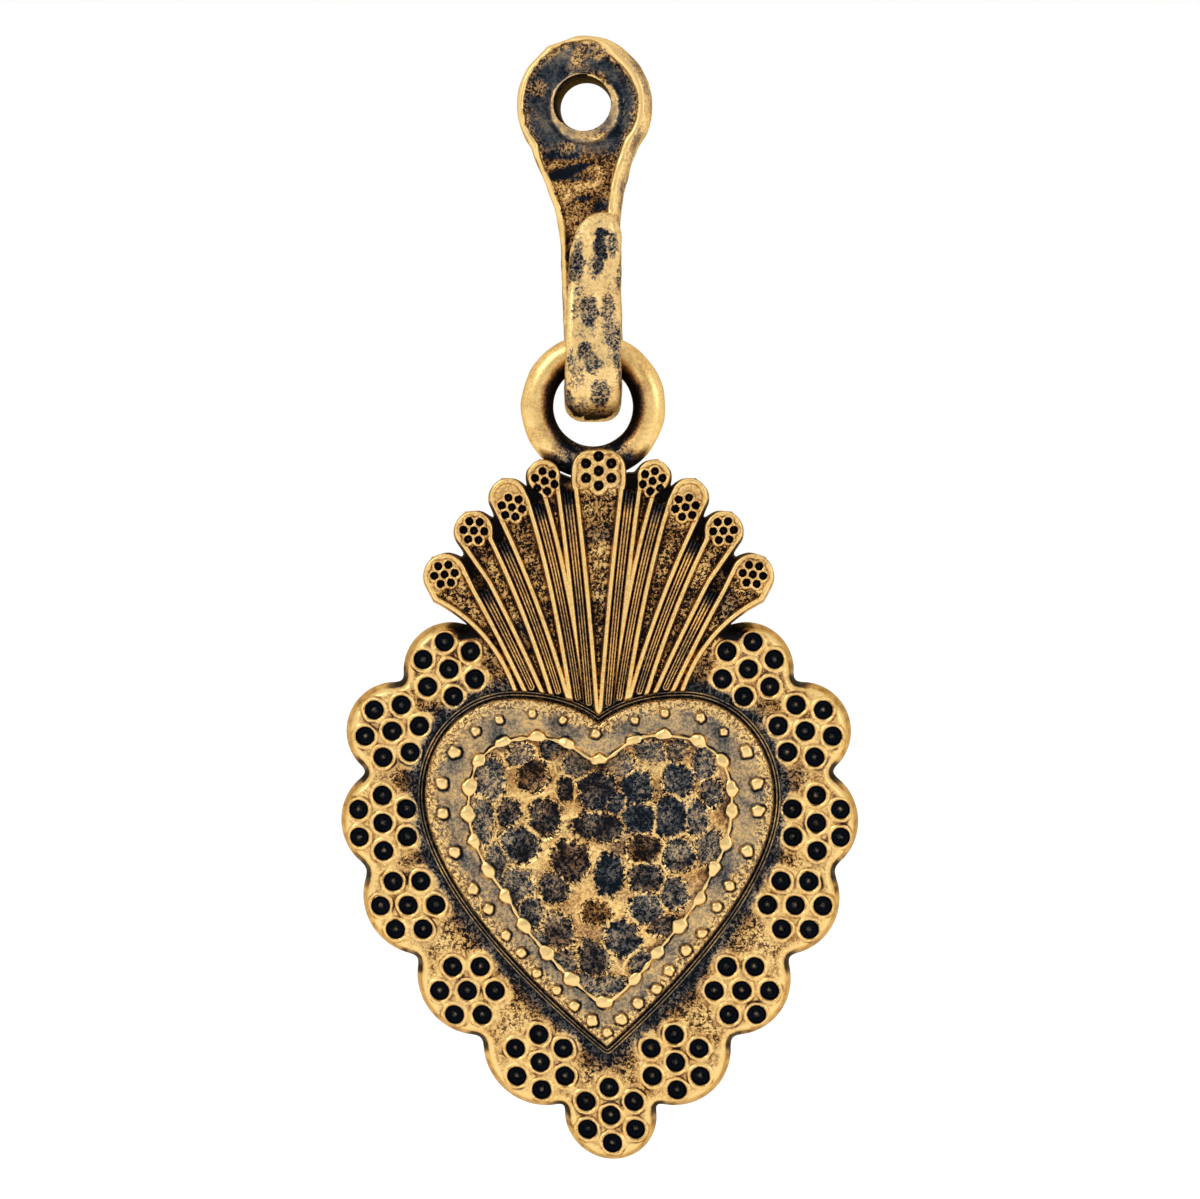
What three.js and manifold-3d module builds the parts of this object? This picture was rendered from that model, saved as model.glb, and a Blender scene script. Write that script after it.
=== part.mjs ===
// A sacred heart talisman in antiqued bronze: a flat pendant that swings on a hooked bail.
//
// The pendant is built up in layers on a scalloped plate, as a bench jeweller solders it: a fan of
// nine flames with a reeded rib between each pair, a heart made of an edge wire, a granulated
// border, a beaded wire and a hammered dome, and a round ring let into the top edge. The bail is
// one forged piece: an eye, a strap, and a hook whose tongue is closed over the ring.
//
// Millimetres, +Z up, front towards -Y. The origin is the centre of the bail's eye.

import * as THREE from "three";
import { mergeVertices } from "three/addons/utils/BufferGeometryUtils.js";
import Module from "manifold-3d";

const wasm = await Module();
wasm.setup();

// Clearances
const solderGap = 0.05; // between two pieces that are soldered together
const hingePlay = 0.1; // between the ring and the inside of the hook

// Bail
const eyeHole = 2.7; // diameter
const eyeRadius = 3.38; // outside radius of the round head
const eyeRise = 0.2; // the head's centre above the hole's
const hookShift = 0.42; // how far the hook's middle stands off from the eye's, to the right
const headThickness = 1.5;
const headRim = 0.5; // width of the raised rim round the head's panel
const headPanelDepth = 0.25;
const eyeCollar = 0.4; // width of the raised collar round the hole
const neckLength = 6.2; // from the hole's centre to where the strap is straight
const strapWidth = 2.9;
const strapDrop = 12.5; // from the hole's centre to the axis that the pendant swings on
const bendThickness = 2.2; // the hook is heaviest at its lowest point
const tongueWidth = 2.7;
const tongueThickness = 1.5; // where the bend ends
const tongueTipThickness = 1.1;
const tongueTop = -5.3; // height of the tongue's tip
const tongueTipGap = 0.15; // between the closed tip and the strap
const tongueLean = 0.15; // how far the tip stands off to one side
const strapCorner = 0.38; // corner radius of the strap's section
const bendCorner = 0.9; // corner radius of its outer side where the bend is lowest

// Ring
const ringHole = 3.96; // diameter
const ringWire = 1.64; // diameter

// Plate. Heights are above its flat back.
const plateThickness = 1.5;
const lobeShoulder = 0.45; // how far the rounded edge runs in from the outline
const dimplePitch = 1.38;
const dimpleRadius = 0.45;
const dimpleDepth = 0.5;
const dimplePip = 0.2; // height of the cone in the floor of each dimple
const fanMargin = 0.12; // how far the plate stands out past the flames on it
const plateShift = 0.28; // how far the plate's middle line stands off from the ring's
const tipDrift = 0.42; // how far the hand-made plate's tip strays to the right
const driftStart = -14.6; // height, below the ring's centre, where it starts to stray

// Where the seven dimples of each lobe are centred, below the ring's centre, and how far each
// group is turned, in degrees. The lobe's outline has a radius of its own and is centred nearer
// the heart than its dimples by the inset. The left side mirrors the right.
const lobes = [
  { x: 7.45, z: -13.1, turn: 20.5, radius: 2.4, inset: 0.1 },
  { x: 10.28, z: -16.18, turn: 49.5, radius: 2.45, inset: 0.1 },
  { x: 10.79, z: -20.76, turn: 29.5, radius: 2.75, inset: 0.6 },
  { x: 9.63, z: -24.85, turn: -1, radius: 2.95, inset: 0.75 },
  { x: 6.83, z: -29.1, turn: 0, radius: 2.95, inset: 0.75 },
  { x: 3.37, z: -32.66, turn: 30, radius: 3, inset: 0.72 },
];
const lowestLobe = { x: 0, z: -35.3, turn: 30, radius: 2.3, inset: -0.05 };

// Flames
const flameHeight = 0.6;
const flameEdge = 0.38; // height of the flame's outer wall, below its rounded rim
const flameBevel = 0.12;
const rimWidth = 0.28; // from the flame's side to the inside of its rim
const panelHeight = 0.3; // the sunk panel's floor
const padHeight = 0.52; // the dimpled pad at the tip
const flameDimpleRadius = 0.2;
const flameDimplePitch = 0.51;
const centreDimpleScale = 1.42; // the centre flame's dimples are larger
const flameDimpleDepth = 0.28;

// The lines between the flames on the right, below the ring's centre. Each runs up from the heart
// to the gap between two tips, where the plate under them ends in a notch. The last is the outer
// side of the last flame.
const seams = [
  { base: [0.36, -16.4], bend: [0.85, -9.6], top: [1.62, -3.85], notch: [1.7, -3.25] },
  { base: [0.82, -16.0], bend: [1.75, -9.0], top: [3.13, -4.55], notch: [3.6, -4.0] },
  { base: [1.58, -15.7], bend: [3.0, -10.6], top: [4.97, -6.45], notch: [5.3, -5.6] },
  { base: [2.62, -15.6], bend: [4.1, -12.2], top: [5.83, -8.96], notch: [6.85, -7.5] },
  { base: [4.0, -15.4], bend: [4.9, -11.4], top: [8.2, -9.75] },
];

// The round tips of the flames on the right, and how far back the dimples lie from each centre.
const tips = [
  { x: 2.73, z: -3.52, radius: 0.84, back: 0.25 },
  { x: 4.5, z: -4.53, radius: 0.93, back: 0.56 },
  { x: 6.2, z: -6.2, radius: 0.97, back: 0.02 },
  { x: 7.62, z: -8.43, radius: 1.08, back: -0.05 },
];
const centreTip = { x: 0, z: -3.55, radius: 1.38, back: -0.3, cap: 1.4 };

// Reeded ribs between the flames
const ribBaseWidth = 0.34;
const ribTopWidth = 0.5;
const ribLength = 0.96; // share of the seam that it runs along
const ribHeight = 0.5; // the three ridges
const ribValley = 0.3; // the grooves between them

// Heart. Its outline is a cleft, the top of each side, the widest point and the tip.
const heartCleft = -15.75;
const heartTop = { x: 4.2, z: -14.5 };
const heartSide = { x: 8.7, z: -19.4 };
const heartTip = -31.9;
const edgeWire = 0.3; // width of the wire round the heart
const borderHeight = 0.55;
const borderBevel = 0.2;
const borderWidth = 2.45;
const lowerBorder = 0.74; // share of its width that the border keeps at the tip
const beadInset = 0.85; // from the heart's outline to the row of grains
const beadRadius = 0.3;
const beadHeight = 0.27;
const beadCount = 34;
const beadedWireInset = 2.06;
const beadedWireRadius = 0.13;
const beadedWireBead = 0.33;
const beadedWireBeads = 26;
const domeRise = 1.9; // the hammered dome's crown above the plate
const domeEdge = 0.45; // height of the dome's side

// Where each hammer blow on the dome fell, below the ring's centre
const hammerBlows = [
  [-3.8, -17.2], [-2.4, -17.0], [-0.9, -17.7], [-3.3, -18.3], [-5.4, -18.4], [-1.7, -19.0],
  [0.0, -19.0], [-2.7, -20.4], [-4.4, -20.0], [-5.7, -20.5], [-3.9, -21.8], [-1.5, -22.5],
  [0.0, -20.8], [0.5, -23.1], [-4.3, -23.7], [-2.3, -23.8], [-0.3, -25.0], [-2.3, -26.1],
  [-3.5, -25.0], [-0.4, -27.4], [1.0, -26.3], [2.2, -24.9], [2.2, -23.3], [3.9, -22.2],
  [2.2, -21.8], [1.9, -18.8], [2.0, -20.3], [3.6, -20.3], [3.9, -18.5], [1.1, -17.7],
  [2.5, -17.1], [3.9, -17.1], [5.2, -17.8], [5.4, -19.1], [4.7, -20.4], [5.4, -21.9],
  [3.6, -24.2], [3.1, -25.7], [0.0, -28.7], [1.9, -27.7], [-2.0, -27.5], [-5.1, -22.7],
  [0.0, -17.0],
];

// Numbers of facets
const roundSteps = 18;
const dimpleSides = 6;
const flameDimpleSides = 6;
const seamSteps = 7;
const flameSteps = 11;
const heartSteps = 48;

// Worked out from the sizes above
const ringRadius = (ringHole + ringWire) / 2;
const hookReach = strapWidth / 2 - strapCorner * 0.3; // half the width that bears on the ring
const hookBearing = Math.sqrt((ringHole / 2) ** 2 - hookReach ** 2); // its height over the ring's centre
const axisOverRing = (ringRadius + ringWire / 2 + hookBearing) / 2;
const hookRadius = axisOverRing - hookBearing + hingePlay; // inside of the bend
const axisY = -headThickness / 2 - hookRadius;
const ringMiddle = ringWire / 2; // the ring's back is flush with the plate's
const axisX = new THREE.Vector3(1, 0, 0);

const bronze = (color, roughness) =>
  new THREE.MeshStandardMaterial({ color, metalness: 1, roughness });
const bright = bronze(0xc8974f, 0.35);
const aged = bronze(0x8d6a3c, 0.5);
const blackened = bronze(0x3b3a3c, 0.6);

// Solids and geometries

function solidOf(geometry) {
  const bare = geometry.clone();
  bare.deleteAttribute("normal");
  bare.deleteAttribute("uv");
  const merged = mergeVertices(bare, 1e-4);
  return new wasm.Manifold(
    new wasm.Mesh({
      numProp: 3,
      vertProperties: new Float32Array(merged.attributes.position.array),
      triVerts: new Uint32Array(merged.index.array),
    }),
  );
}

function geometryOf(solid) {
  const mesh = solid.getMesh();
  const positions = [];
  for (let i = 0; i < mesh.numVert; i++) {
    positions.push(...mesh.vertProperties.slice(i * mesh.numProp, i * mesh.numProp + 3));
  }
  const geometry = new THREE.BufferGeometry();
  geometry.setAttribute("position", new THREE.Float32BufferAttribute(positions, 3));
  geometry.setIndex([...mesh.triVerts]);
  const faceted = geometry.toNonIndexed();
  faceted.computeVertexNormals();
  return faceted;
}

const joined = (solids) => solids.reduce((sum, solid) => sum.add(solid));

// A skin over rings of points that all run the same way round, closed by a flat cap at each end,
// or by joining the last ring to the first.
function loft(rings, isLoop = false) {
  const count = rings[0].length;
  const positions = rings.flat().flatMap((p) => [p.x, p.y, p.z]);
  const faces = [];
  const last = isLoop ? rings.length : rings.length - 1;
  for (let i = 0; i < last; i++) {
    const a = i * count;
    const b = ((i + 1) % rings.length) * count;
    for (let j = 0; j < count; j++) {
      const k = (j + 1) % count;
      faces.push(a + j, a + k, b + k, a + j, b + k, b + j);
    }
  }
  if (!isLoop) {
    const cap = capOf(rings[0]);
    const end = (rings.length - 1) * count;
    cap.forEach(([p, q, r]) => faces.push(p, r, q));
    capOf(rings[rings.length - 1]).forEach(([p, q, r]) => faces.push(end + p, end + q, end + r));
  }
  const geometry = new THREE.BufferGeometry();
  geometry.setAttribute("position", new THREE.Float32BufferAttribute(positions, 3));
  geometry.setIndex(faces);
  return solidOf(geometry);
}

// The triangles of a flat ring of points, wound as the ring is.
function capOf(ring) {
  const normal = new THREE.Vector3();
  ring.forEach((p, i) => {
    const q = ring[(i + 1) % ring.length];
    normal.add(new THREE.Vector3().crossVectors(p, q));
  });
  normal.normalize();
  const across = ring[1].clone().sub(ring[0]).normalize();
  const up = new THREE.Vector3().crossVectors(normal, across);
  const flat = ring.map((p) => new THREE.Vector2(p.dot(across), p.dot(up)));
  return THREE.ShapeUtils.triangulateShape(flat, []);
}

// Relief pieces are drawn face up: x right, y up the talisman, z the height above the plate's back.

function prism(points, low, high) {
  const shape = new THREE.Shape(points);
  const geometry = new THREE.ExtrudeGeometry(shape, { depth: high - low, bevelEnabled: false });
  return solidOf(geometry.translate(0, 0, low));
}

const mirrored = (points) => points.map((p) => new THREE.Vector2(-p.x, p.y)).reverse();

// The right half of the heart's outline from the cleft to the tip, moved in by a distance, or out
// by a negative one. A corner that opens is rounded about itself, and one that closes is cut off
// at the middle line.
function heartHalf(distance) {
  const at = (x, y) => new THREE.Vector2(x, y);
  const [wide, tall] = [heartSide.x - heartTop.x, heartTop.z - heartSide.z];
  const cleft = at(0, heartCleft);
  const top = at(heartTop.x, heartTop.z);
  const side = at(heartSide.x, heartSide.z);
  const tip = at(0, heartTip);
  const fall = heartTip - heartSide.z;
  const curves = [
    new THREE.CubicBezierCurve(cleft, at(0.9, cleft.y + 0.75), at(top.x * 0.55, top.y), top),
    new THREE.CubicBezierCurve(
      top,
      at(top.x + wide * 0.56, top.y),
      at(side.x, side.y + tall * 0.55),
      side,
    ),
    new THREE.CubicBezierCurve(
      side,
      at(side.x, side.y + fall * 0.34),
      at(side.x * 0.39, tip.y - fall * 0.235),
      tip,
    ),
  ];
  const points = [];
  const place = (p, angle) => {
    const down = THREE.MathUtils.smoothstep(side.y - p.y, 0, side.y - tip.y);
    const share = distance > 0 ? THREE.MathUtils.lerp(1, lowerBorder, down) : 1;
    const way = at(Math.cos(angle), Math.sin(angle));
    points.push(p.clone().addScaledVector(way, distance * share));
  };
  const inward = (curve, t) => curve.getTangent(t).angle() - Math.PI / 2;
  const corner = (p, from, to) => {
    for (let i = 0; i < 8; i++) place(p, THREE.MathUtils.lerp(from, to, i / 8));
  };
  if (distance > 0) corner(cleft, -Math.PI / 2, inward(curves[0], 0));
  curves.forEach((curve) => {
    for (let t = 0; t < 1; t += 1 / 32) place(curve.getPoint(t), inward(curve, t));
  });
  const last = inward(curves[2], 1);
  if (distance < 0) corner(tip, last, Math.PI / 2);
  place(tip, distance < 0 ? Math.PI / 2 : last);
  const first = points.findIndex((p) => p.x > 1e-6);
  const end = points.findLastIndex((p) => p.x > 1e-6);
  const onMiddle = (p, q) => at(0, THREE.MathUtils.mapLinear(0, p.x, q.x, p.y, q.y));
  return [
    onMiddle(points[first], points[first - 1]),
    ...points.slice(first, end + 1),
    onMiddle(points[end], points[end + 1]),
  ];
}

// The whole line, counterclockwise, in equal steps.
function heartLine(distance) {
  const half = new THREE.Path().setFromPoints(heartHalf(distance)).getSpacedPoints(heartSteps / 2);
  return [...half.slice(0, -1), ...mirrored(half).slice(0, -1)].reverse();
}

// A closed outline moved in by a distance, or out by a negative one.
function inset(points, distance) {
  return points.map((p, i) => {
    const before = points[(i + points.length - 1) % points.length];
    const after = points[(i + 1) % points.length];
    const a = p.clone().sub(before).normalize();
    const b = after.clone().sub(p).normalize();
    const inward = new THREE.Vector2(-(a.y + b.y), a.x + b.x).normalize();
    const share = Math.max(0.75, -a.y * inward.x + a.x * inward.y);
    return p.clone().addScaledVector(inward, distance / share);
  });
}

const upright = (points, z) => points.map((p) => new THREE.Vector3(p.x, p.y, z));

// A round post on the relief, with straight or coned ends, from pairs of radius and height.
function turned(profile, sides, x, y, turn = 0) {
  const outline = profile.map(([radius, height]) => new THREE.Vector2(radius, height));
  const geometry = new THREE.LatheGeometry(outline, sides).rotateX(Math.PI / 2);
  return solidOf(geometry.rotateZ(turn).translate(x, y, 0));
}

// The seven places of a honeycomb group: one in the middle and six round it.
function honeycomb(centre, pitch, turn) {
  const around = Array.from({ length: 6 }, (_, i) => {
    const angle = THREE.MathUtils.degToRad(turn + 60 * i);
    return new THREE.Vector2(Math.cos(angle), Math.sin(angle)).multiplyScalar(pitch).add(centre);
  });
  return [centre, ...around];
}

// The tool that sinks one dimple with a coned floor into a face at the given height.
function dimpleTool(place, face, radius, depth, pip, sides) {
  const profile = [
    [0, face - depth + pip],
    [radius * 0.86, face - depth],
    [radius, face + pip],
    [0, face + pip],
  ];
  return turned(profile, sides, place.x, place.y);
}

// Seams and flames. A station is the pair of points where a piece's two sides are.

function seamLine(seam) {
  return new THREE.QuadraticBezierCurve(
    new THREE.Vector2(...seam.base),
    new THREE.Vector2(...seam.bend),
    new THREE.Vector2(...seam.top),
  );
}

const ribHalfAt = (t) => THREE.MathUtils.lerp(ribBaseWidth, ribTopWidth, t) / 2;

// The side of a seam at share t of its length, moved over by a distance to its right.
function besideSeam(curve, t, distance) {
  const along = curve.getTangent(t);
  return curve.getPoint(t).add(new THREE.Vector2(along.y, -along.x).multiplyScalar(distance));
}

function ribStations(seam) {
  const curve = seamLine(seam);
  return Array.from({ length: seamSteps + 1 }, (_, i) => {
    const t = (i / seamSteps) * ribLength;
    return [besideSeam(curve, t, -ribHalfAt(t)), besideSeam(curve, t, ribHalfAt(t))];
  });
}

// One side of a flame, from the heart to the tip's highest point: it follows the seam on that side
// and then runs on smoothly round the tip.
function flameSide(seam, clearAt, tip, ahead, isLeft) {
  const curve = seamLine(seam);
  const centre = new THREE.Vector2(tip.x, tip.z);
  const across = new THREE.Vector2(ahead.y, -ahead.x).multiplyScalar(isLeft ? -1 : 1);
  const cap = tip.cap ?? tip.radius;
  const squareness = tip.cap ? 0.75 : 1;
  const round = Array.from({ length: 25 }, (_, i) => {
    const angle = THREE.MathUtils.degToRad(120 - i * 5);
    const out = Math.sin(angle) ** squareness * tip.radius;
    const up = Math.sign(Math.cos(angle)) * Math.abs(Math.cos(angle)) ** squareness * cap;
    return centre.clone().addScaledVector(across, out).addScaledVector(ahead, up);
  });
  const along = Array.from({ length: 25 }, (_, i) =>
    besideSeam(curve, i / 24, (isLeft ? 1 : -1) * clearAt(i / 24)),
  ).filter((p) => p.distanceTo(centre) > tip.radius * 1.02 && p.clone().sub(centre).dot(ahead) < 0);
  const end = along[along.length - 1];
  const lean = (p) => {
    const way = p.clone().sub(end).normalize();
    return way.dot(across);
  };
  const touch = round.reduce((best, p, i) => (lean(p) > lean(round[best]) ? i : best), 0);
  return new THREE.Path().setFromPoints([...along, ...round.slice(touch)]);
}

function flameStations(leftSeam, rightSeam, tip, hasRibRight = true) {
  const clear = (t) => ribHalfAt(t) + solderGap;
  const clearRight = hasRibRight ? clear : () => solderGap;
  const foot = seamLine(leftSeam).getPoint(0.6).lerp(seamLine(rightSeam).getPoint(0.6), 0.5);
  const ahead = new THREE.Vector2(tip.x, tip.z).sub(foot).normalize();
  const left = flameSide(leftSeam, clear, tip, ahead, true);
  const right = flameSide(rightSeam, clearRight, tip, ahead, false);
  return Array.from({ length: flameSteps + 1 }, (_, i) => {
    const share = 0.994 * (1 - (1 - i / flameSteps) ** 1.6);
    return [left.getPointAt(share), right.getPointAt(share)];
  });
}

const swapSides = (stations) =>
  stations.map(([a, b]) => [new THREE.Vector2(-b.x, b.y), new THREE.Vector2(-a.x, a.y)]);

// A strip of relief: at each station, a section of [distance from the nearer side, height] points,
// where a negative distance counts from the right side.
function strip(stations, sectionAt) {
  const rings = stations.map(([left, right], i) => {
    const width = left.distanceTo(right);
    return sectionAt(width, i / (stations.length - 1)).map(([offset, height]) => {
      const share = (Object.is(offset, -0) || offset < 0 ? width + offset : offset) / width;
      const p = left.clone().lerp(right, share);
      return new THREE.Vector3(p.x, p.y, height);
    });
  });
  return loft(rings.reverse());
}

const slab = (stations, low, high) =>
  strip(stations, () => [
    [0, low],
    [-0, low],
    [-0, high],
    [0, high],
  ]);

function widened(stations, margin) {
  return stations.map(([left, right]) => {
    const across = right.clone().sub(left).normalize().multiplyScalar(margin);
    return [left.clone().sub(across), right.clone().add(across)];
  });
}

function flameSolid(stations, tip, scale) {
  const base = plateThickness + solderGap;
  const top = plateThickness + flameHeight;
  const body = strip(stations, (width, along) => {
    const fit = Math.min(1, width / (2 * rimWidth + 0.24));
    const inPad = THREE.MathUtils.smoothstep(along, 0.5, 0.62);
    const floor = plateThickness + THREE.MathUtils.lerp(panelHeight, padHeight, inPad);
    const [bevel, rim, wall] = [flameBevel, rimWidth - 0.08, rimWidth].map((d) => d * fit);
    return [
      [0, base],
      [-0, base],
      [-0, plateThickness + flameEdge],
      [-bevel, top],
      [-rim, top],
      [-wall, floor],
      [wall, floor],
      [rim, top],
      [bevel, top],
      [0, plateThickness + flameEdge],
    ];
  });
  const centre = new THREE.Vector2(tip.x, tip.z);
  const [left, right] = stations[Math.round(flameSteps / 2)];
  const heading = centre.clone().sub(left.clone().lerp(right, 0.5)).normalize();
  const place = centre.addScaledVector(heading, -tip.back);
  const turn = THREE.MathUtils.radToDeg(heading.angle());
  const places = honeycomb(place, flameDimplePitch * scale, turn);
  const tools = places.map((place) =>
    dimpleTool(
      place,
      plateThickness + padHeight,
      flameDimpleRadius * scale,
      flameDimpleDepth,
      0.08,
      flameDimpleSides,
    ),
  );
  return body.subtract(joined(tools));
}

function ribSolid(stations) {
  const base = plateThickness + solderGap;
  const ridge = plateThickness + ribHeight;
  const valley = plateThickness + ribValley;
  return strip(stations, (width) => [
    [0, base],
    [-0, base],
    [-0, valley],
    [-width / 6, ridge],
    [-width / 3, valley],
    [width / 2, ridge],
    [width / 3, valley],
    [width / 6, ridge],
    [0, valley],
  ]);
}

// Plate

function lobeDisc(lobe) {
  const { radius } = lobe;
  const toHeart = new THREE.Vector2(-lobe.x, heartSide.z - lobe.z).normalize();
  const centre = new THREE.Vector2(lobe.x, lobe.z).addScaledVector(toHeart, lobe.inset);
  const profile = [
    [0, 0],
    [radius, 0],
    [radius, plateThickness - lobeShoulder * 1.4],
    [radius - lobeShoulder * 0.3, plateThickness - lobeShoulder * 0.5],
    [radius - lobeShoulder, plateThickness],
    [0, plateThickness],
  ];
  return { centre, solid: turned(profile, roundSteps, centre.x, centre.y) };
}

function plateSolid(allFlames, allLobes, ringSeat) {
  const discs = allLobes.map(lobeDisc);
  const lobeCore = prism(
    discs.map((disc) => disc.centre),
    0,
    plateThickness,
  );
  const flameBases = allFlames.map((stations) =>
    slab(widened(stations, fanMargin), 0, plateThickness),
  );
  const notches = seams.slice(0, -1).map((seam) => new THREE.Vector2(...seam.notch));
  const fanFoot = new THREE.Vector2(...seams[seams.length - 1].base);
  const rightSide = [fanFoot, ...notches.reverse()];
  const fanCore = prism([...rightSide, ...mirrored(rightSide)], 0, plateThickness);
  const tools = allLobes.flatMap((lobe) =>
    honeycomb(new THREE.Vector2(lobe.x, lobe.z), dimplePitch, lobe.turn).map((place) =>
      dimpleTool(place, plateThickness, dimpleRadius, dimpleDepth, dimplePip, dimpleSides),
    ),
  );
  return joined([lobeCore, fanCore, ...flameBases, ...discs.map((disc) => disc.solid)])
    .subtract(ringSeat)
    .subtract(joined(tools));
}

// Heart

function edgeWireSolid() {
  const base = plateThickness + solderGap;
  const top = base + edgeWire * 0.6;
  const slope = edgeWire * 0.15;
  const lines = [
    upright(heartLine(-solderGap), base),
    upright(heartLine(-solderGap - edgeWire), base),
    upright(heartLine(-solderGap - edgeWire + slope), top),
    upright(heartLine(-solderGap - slope), top),
  ];
  return loft(lines, true);
}

function borderSolid() {
  const base = plateThickness + solderGap;
  const top = plateThickness + borderHeight;
  const body = loft([
    upright(heartLine(0), base),
    upright(heartLine(0), top - borderBevel),
    upright(heartLine(borderBevel), top),
  ]);
  const hole = prism(heartLine(borderWidth), 0, top + 1);
  const row = new THREE.CatmullRomCurve3(upright(heartLine(beadInset), 0), true);
  const grains = Array.from({ length: beadCount }, (_, i) => {
    const place = row.getPointAt((i + 0.5) / beadCount);
    const profile = [
      [0, top - 0.1],
      [beadRadius, top - 0.1],
      [beadRadius * 0.8, top + beadHeight * 0.6],
      [0, top + beadHeight],
    ];
    return turned(profile, 5, place.x, place.y);
  });
  return joined([body.subtract(hole), ...grains]);
}

// A half-round wire on the border's inner margin, swelling into a bead at regular steps.
function beadedWireSolid() {
  const base = plateThickness + borderHeight + solderGap;
  const line = new THREE.CatmullRomCurve3(upright(heartLine(beadedWireInset), base), true);
  const steps = beadedWireBeads * 4;
  const sections = Array.from({ length: steps }, (_, i) => {
    const share = i / steps;
    const swell = Math.max(0, Math.cos(share * beadedWireBeads * 2 * Math.PI));
    const radius = THREE.MathUtils.lerp(beadedWireRadius, beadedWireBead, swell);
    const centre = line.getPointAt(share);
    const along = line.getTangentAt(share);
    const side = new THREE.Vector3(along.y, -along.x, 0);
    return [0, 55, 125, 180].map((degrees) => {
      const angle = THREE.MathUtils.degToRad(degrees);
      const up = new THREE.Vector3(0, 0, radius * Math.sin(angle));
      return centre.clone().addScaledVector(side, radius * Math.cos(angle)).add(up);
    });
  });
  return loft(sections.reverse(), true);
}

// The dome is cut by one flat for each hammer mark, square to a rounded crown.
function domeSolid() {
  const base = plateThickness + solderGap;
  const blank = prism(heartLine(borderWidth + solderGap), base, plateThickness + domeRise);
  const middle = new THREE.Vector2(0, heartSide.z - 1.2);
  const reach = Math.abs(heartTip - middle.y) - borderWidth;
  const block = 2 * (reach + domeRise);
  const flats = hammerBlows.map((blow) => {
    const away = new THREE.Vector2(...blow).sub(middle);
    const distance = away.length();
    const angle = away.angle();
    const drop = (domeRise - domeEdge) * (distance / reach) ** 2.4;
    const slope = (2.4 * (domeRise - domeEdge) * (distance / reach) ** 1.4) / reach;
    const tool = new THREE.BoxGeometry(block, block, block).translate(0, 0, block / 2);
    tool.rotateY(Math.atan(slope)).rotateZ(angle);
    tool.translate(
      middle.x + distance * Math.cos(angle),
      middle.y + distance * Math.sin(angle),
      plateThickness + domeRise - drop,
    );
    return solidOf(tool);
  });
  return blank.subtract(joined(flats));
}

// Bail

// How far the strap's middle stands off to the right at a height below the eye.
const strapShift = (z) => hookShift * THREE.MathUtils.smoothstep(-z, 0, strapDrop);

function headSolid() {
  const half = strapWidth / 2;
  const shape = new THREE.Shape();
  const startAngle = THREE.MathUtils.degToRad(-38);
  const startX = eyeRadius * Math.cos(startAngle);
  const startY = eyeRise + eyeRadius * Math.sin(startAngle);
  shape.absarc(0, eyeRise, eyeRadius, startAngle, Math.PI - startAngle, false);
  const foot = -neckLength - 1;
  const [footLeft, footRight] = [strapShift(foot) - half, strapShift(foot) + half];
  shape.bezierCurveTo(-startX * 0.78, startY - 1.5, footLeft, foot + 2.7, footLeft, foot);
  shape.lineTo(footRight, foot);
  shape.bezierCurveTo(footRight, foot + 2.7, startX * 0.78, startY - 1.5, startX, startY);
  const outline = shape.getPoints(roundSteps / 3);
  const corner = strapCorner * 0.6;
  const levels = [
    [corner, -headThickness / 2],
    [0, -headThickness / 2 + corner],
    [0, headThickness / 2 - corner],
    [corner, headThickness / 2],
  ];
  const clean = outline.filter((p, i) => p.distanceTo(outline[(i + 1) % outline.length]) > 1e-3);
  const body = loft(levels.map(([distance, z]) => upright(inset(clean, distance), z)));
  const floor = headThickness / 2 - headPanelDepth;
  const panel = prism(inset(clean, headRim), floor, headThickness);
  const collar = turned(
    [
      [0, 0],
      [eyeHole / 2 + eyeCollar, 0],
      [eyeHole / 2 + eyeCollar, headThickness / 2],
      [0, headThickness / 2],
    ],
    roundSteps,
    0,
    0,
  );
  const hole = turned(
    [
      [0, -headThickness],
      [eyeHole / 2, -headThickness],
      [eyeHole / 2, headThickness],
      [0, headThickness],
    ],
    roundSteps,
    0,
    0,
  );
  const trough = body.subtract(panel.subtract(collar)).subtract(hole);
  return trough.rotate([90, 0, 0]);
}

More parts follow.
